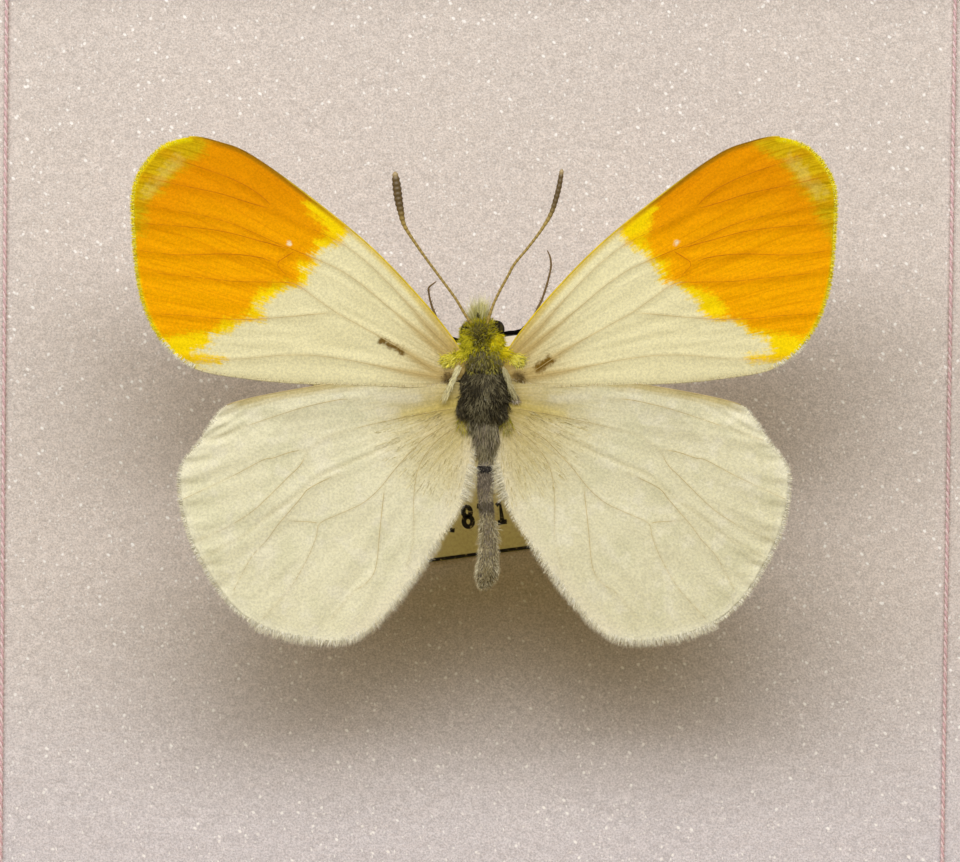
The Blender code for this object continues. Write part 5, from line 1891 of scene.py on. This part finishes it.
# %% Fringes
def fringe(line, height, side, seed, count, length, width, tints, turn=0.0, spread=0.16, back=0.2):
    """Hairs that stand out from a wing's edge, a little behind it, and lean along it by a turn."""
    share = rng.uniform(0, 1, count)
    places = spaced(line, share)
    ahead = unit(spaced(line, np.minimum(share + 0.004, 1)) - spaced(line, np.maximum(share - 0.004, 0)))
    out = np.column_stack((-ahead[:, 1], ahead[:, 0]))
    middle = line.mean(axis=0)
    out *= np.sign(((places - middle) * out).sum(axis=1))[:, None]
    places = places - out * (back + rng.uniform(0, 0.12, count)[:, None])
    level = height(places, seed) - MEMBRANE / 2 + rng.uniform(-0.03, 0.03, count)
    aims = np.column_stack((out + ahead * turn, rng.uniform(-0.12, 0.12, count)))
    roots = np.column_stack((places, level)) * (side, 1, 1)
    return coat(roots, aims * (side, 1, 1), length, width, tints, spread)


WHITE_FRINGE = ((0.82, 0.785, 0.63), (0.88, 0.85, 0.73), (0.77, 0.73, 0.56))
YELLOW_FRINGE = ((0.86, 0.74, 0.01), (0.80, 0.64, 0.01), (0.90, 0.82, 0.10))
REAR_FRINGE = ((0.62, 0.53, 0.31), (0.74, 0.67, 0.46), (0.52, 0.42, 0.22))
upper = spaced(fore_edges["margin"], np.linspace(0.0, 0.86, 60))
lower = spaced(fore_edges["margin"], np.linspace(0.84, 1.0, 20))
outer, inner = hind_edges["margin"], hind_edges["hind"]
lower_outer = spaced(outer, np.linspace(0.7, 1.0, 40))
lower_inner = spaced(inner, np.linspace(0.45, 1.0, 40))
for word, (side, seed) in SIDES.items():
    coats = [
        fringe(upper, fore_height, side, seed, 2000, 0.24, 0.027, YELLOW_FRINGE),
        fringe(lower, fore_height, side, seed, 420, 0.32, 0.024, WHITE_FRINGE),
        fringe(fore_edges["hind"], fore_height, side, seed, 1000, 0.14, 0.027, REAR_FRINGE, 0.5, back=0.06),
    ]
    hair_piece(f"forewing_fringe_{word}", coats, bend=0.1, root_shade=0.9)
    coats = [
        fringe(outer, hind_height, side, seed, 2300, 0.3, 0.026, WHITE_FRINGE),
        fringe(lower_outer, hind_height, side, seed, 900, 0.6, 0.019, WHITE_FRINGE, spread=0.22),
        fringe(inner, hind_height, side, seed, 1850, 0.42, 0.019, CREAM_HAIR, 0.4, 0.2, 0.15),
        fringe(lower_inner, hind_height, side, seed, 750, 0.62, 0.016, WHITE_FRINGE, 0.5, 0.2, 0.2),
    ]
    hair_piece(f"hindwing_fringe_{word}", coats, bend=0.2, root_shade=0.9)

# %% Hair on the roots of the hindwings
DOWN_HAIR = ((0.66, 0.58, 0.30), (0.72, 0.65, 0.40), (0.58, 0.49, 0.20))
DOWN_FROM = (0.7, -0.9)
DOWN_REACH = 6.0
BRIDGE_SHARES = (0.08, 0.235)
coats = []
for word, (side, seed) in SIDES.items():
    far = rng.uniform(0.4, 1.0, 420) ** 1.3 * DOWN_REACH
    angle = np.radians(rng.uniform(-86, -8, len(far)))
    places = np.array(DOWN_FROM) + np.column_stack((np.cos(angle), np.sin(angle))) * far[:, None]
    places = places[inside(places, HINDWING)]
    roots = np.column_stack((places, hind_height(places, seed) + 0.01)) * (side, 1, 1)
    away = np.column_stack((unit(places - np.array((0.7, -0.5))), np.full(len(places), 0.06)))
    coats.append(coat(roots, away * (side, 1, 1), 0.5, 0.012, DOWN_HAIR, 0.08))
    places = spaced(hind_edges["hind"], rng.uniform(*BRIDGE_SHARES, 320)) + (0.3, 0)
    roots = np.column_stack((places, hind_height(places, seed))) * (side, 1, 1)
    toward_body = np.tile((-side, -0.5, 0.02), (len(roots), 1))
    coats.append(coat(roots, toward_body, 0.8, 0.019, CREAM_HAIR + WHITE_FRINGE[:1], 0.14))
hair_piece("wing_root_hair", coats, bend=0.12, root_shade=0.95)

# %% [markdown]
# ## Antennae and legs
#
# An antenna is a chain of some thirty joints that ends in a club. A leg has a thick thigh, a
# slim shin and a foot of small joints. Both are tubes along a smooth line, whose radius swells at each
# joint. The front legs show beside the head, and the others are folded under the wings as they dried.

# %% Antennae
ANTENNAE = {
    "left": (
        (-0.6, 3.7, -0.2, 0.10), (-1.19, 4.58, 0.0, 0.085), (-1.69, 5.42, 0.15, 0.08),
        (-2.61, 6.67, 0.35, 0.08), (-3.36, 7.68, 0.5, 0.08), (-4.12, 8.76, 0.65, 0.09),
        (-4.74, 9.76, 0.8, 0.12), (-4.95, 10.6, 0.9, 0.2), (-5.1, 11.4, 1.0, 0.25),
        (-5.2, 12.18, 1.1, 0.25), (-5.27, 12.72, 1.15, 0.18), (-5.29, 12.93, 1.15, 0.07),
    ),
    "right": (
        (0.1, 3.7, -0.2, 0.10), (0.48, 4.92, 0.0, 0.085), (0.9, 5.84, 0.15, 0.08),
        (1.4, 6.76, 0.35, 0.08), (1.82, 7.51, 0.5, 0.08), (2.65, 8.51, 0.65, 0.08),
        (3.4, 9.51, 0.8, 0.09), (3.95, 10.43, 0.9, 0.13), (4.24, 11.27, 1.0, 0.155),
        (4.45, 12.1, 1.1, 0.155), (4.58, 12.88, 1.15, 0.13), (4.61, 13.08, 1.15, 0.05),
    ),
}
LEGS = {
    "front_left": ((-0.5, 2.4, -1.3, 0.13), (-1.3, 2.93, -1.0, 0.12), (-1.95, 3.12, -1.05, 0.11),
                   (-2.65, 3.95, -1.35, 0.09), (-2.97, 4.6, -1.45, 0.075), (-3.2, 5.26, -1.4, 0.065),
                   (-3.32, 5.92, -1.3, 0.06), (-3.28, 6.17, -1.25, 0.06), (-2.86, 6.51, -1.3, 0.03)),
    "front_right": ((0.4, 2.6, -1.3, 0.13), (1.1, 3.33, -1.0, 0.125), (2.2, 3.56, -1.05, 0.12),
                    (2.95, 4.4, -1.35, 0.09), (3.25, 5.0, -1.45, 0.08), (3.5, 5.55, -1.4, 0.07),
                    (3.78, 6.43, -1.3, 0.065), (3.99, 7.35, -1.25, 0.06), (3.95, 7.93, -1.25, 0.055),
                    (3.78, 8.35, -1.3, 0.03)),
}
HIDDEN_LEGS = {
    "middle": ((-0.7, 0.1, -1.7, 0.22), (-2.2, 0.5, -3.5, 0.17), (-2.6, -2.2, -4.6, 0.12),
               (-3.0, -4.6, -5.0, 0.06)),
    "hind": ((-0.6, -1.2, -1.7, 0.22), (-2.3, -2.7, -3.2, 0.17), (-2.9, -5.6, -3.9, 0.12),
             (-3.6, -8.2, -4.1, 0.06)),
}
LEG_MIDDLE = 0.15
for pair, route in HIDDEN_LEGS.items():
    LEGS[f"{pair}_left"] = route
    LEGS[f"{pair}_right"] = tuple((2 * LEG_MIDDLE - x, *rest) for x, *rest in route)
JOINT_LENGTH = {"antenna": 0.3, "leg": 0.5}
JOINT_SWELL = {"antenna": 0.09, "leg": 0.08}


def jointed(name, route, kind, sides):
    """A limb along x, y, z and radius points, swollen at its joints."""
    line = smooth_line(route, 10)
    length = length_of(line[:, :3])
    gone = np.linspace(0, length, int(length / JOINT_LENGTH[kind] * 7))
    points = spaced(line, gone / length)
    swell = 1 + JOINT_SWELL[kind] * np.cos(2 * math.pi * gone / JOINT_LENGTH[kind])
    places = points[:, :3] + np.array(SPECIMEN) / MM
    made = tube(name, places, np.maximum(points[:, 3], 0.03) * swell, sides)
    far = along_line(points_of(made), points[:, :3], gone)
    carry(made, joint=np.mod(far / JOINT_LENGTH[kind], 1.0), share=far / length)
    bpy.ops.object.shade_smooth()
    return made


def along_line(places, line, gone):
    """How far along a line each place is, by the nearest point of the line."""
    apart = np.linalg.norm(places[:, None, :] - line[None, :, :], axis=2)
    return gone[np.argmin(apart, axis=1)]


horn = Finish("antenna_horn")
horn_dust = horn.noise(0.1 * MM, 2)
shaft = horn.mix(horn_dust, (0.32, 0.215, 0.035), (0.52, 0.38, 0.12))
shaft = horn.mix(horn.step(horn.value("joint"), 0.62, 0.8, 0.0, 0.45), shaft, (0.10, 0.065, 0.022))
club = horn.mix(horn_dust, (0.085, 0.055, 0.022), (0.19, 0.125, 0.05))
toned = horn.mix(horn.step(horn.value("share"), 0.68, 0.82), shaft, club)
toned = horn.mix(horn.step(horn.value("share"), 0.955, 0.99), toned, (0.50, 0.38, 0.20))
horn.surface(Base_Color=toned, Roughness=0.5)
for word, route in ANTENNAE.items():
    made = jointed(f"antenna_{word}", route, "antenna", 10)
    dress(made, f"antenna_{word}", horn.material)

# %% Legs
leg_finish = Finish("leg")
leg_dust = leg_finish.noise(0.15 * MM, 3)
leg_foot = leg_finish.mix(leg_dust, (0.13, 0.085, 0.035), (0.26, 0.175, 0.075))
leg_share = leg_finish.step(leg_finish.value("share"), 0.3, 0.5)
leg_finish.surface(
    Base_Color=leg_finish.mix(leg_share, (0.004, 0.003, 0.003), leg_foot), Roughness=0.7,
    Specular_IOR_Level=0.03, Normal=leg_finish.bump(leg_dust, 0.03 * MM, 0.5),
)
LEG_HAIRS = 60
LEG_HAIR_SHARES = (0.4, 0.9)
coats = []
for word, route in LEGS.items():
    made = jointed(f"leg_{word}", route, "leg", 8)
    dress(made, f"leg_{word}", leg_finish.material)
    line = smooth_line(np.array(route)[:, :3], 10)
    share = rng.uniform(*LEG_HAIR_SHARES, LEG_HAIRS)
    roots = spaced(line, share)
    ahead = unit(spaced(line, share + 0.05) - roots)
    sideways = unit(np.cross(ahead, rng.normal(size=ahead.shape)))
    roots = roots + sideways * 0.07
    coats.append(coat(roots, ahead * 0.8 + sideways, 0.22, 0.011, BEIGE_HAIR + BROWN_HAIR[1:], 0.2))
hair_piece("leg_hair", coats)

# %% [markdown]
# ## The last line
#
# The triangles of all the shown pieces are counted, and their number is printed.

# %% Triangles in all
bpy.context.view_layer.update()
total = 0
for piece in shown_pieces():
    total += sum(len(face.vertices) - 2 for face in piece.data.polygons)
print("triangles in all:", total)
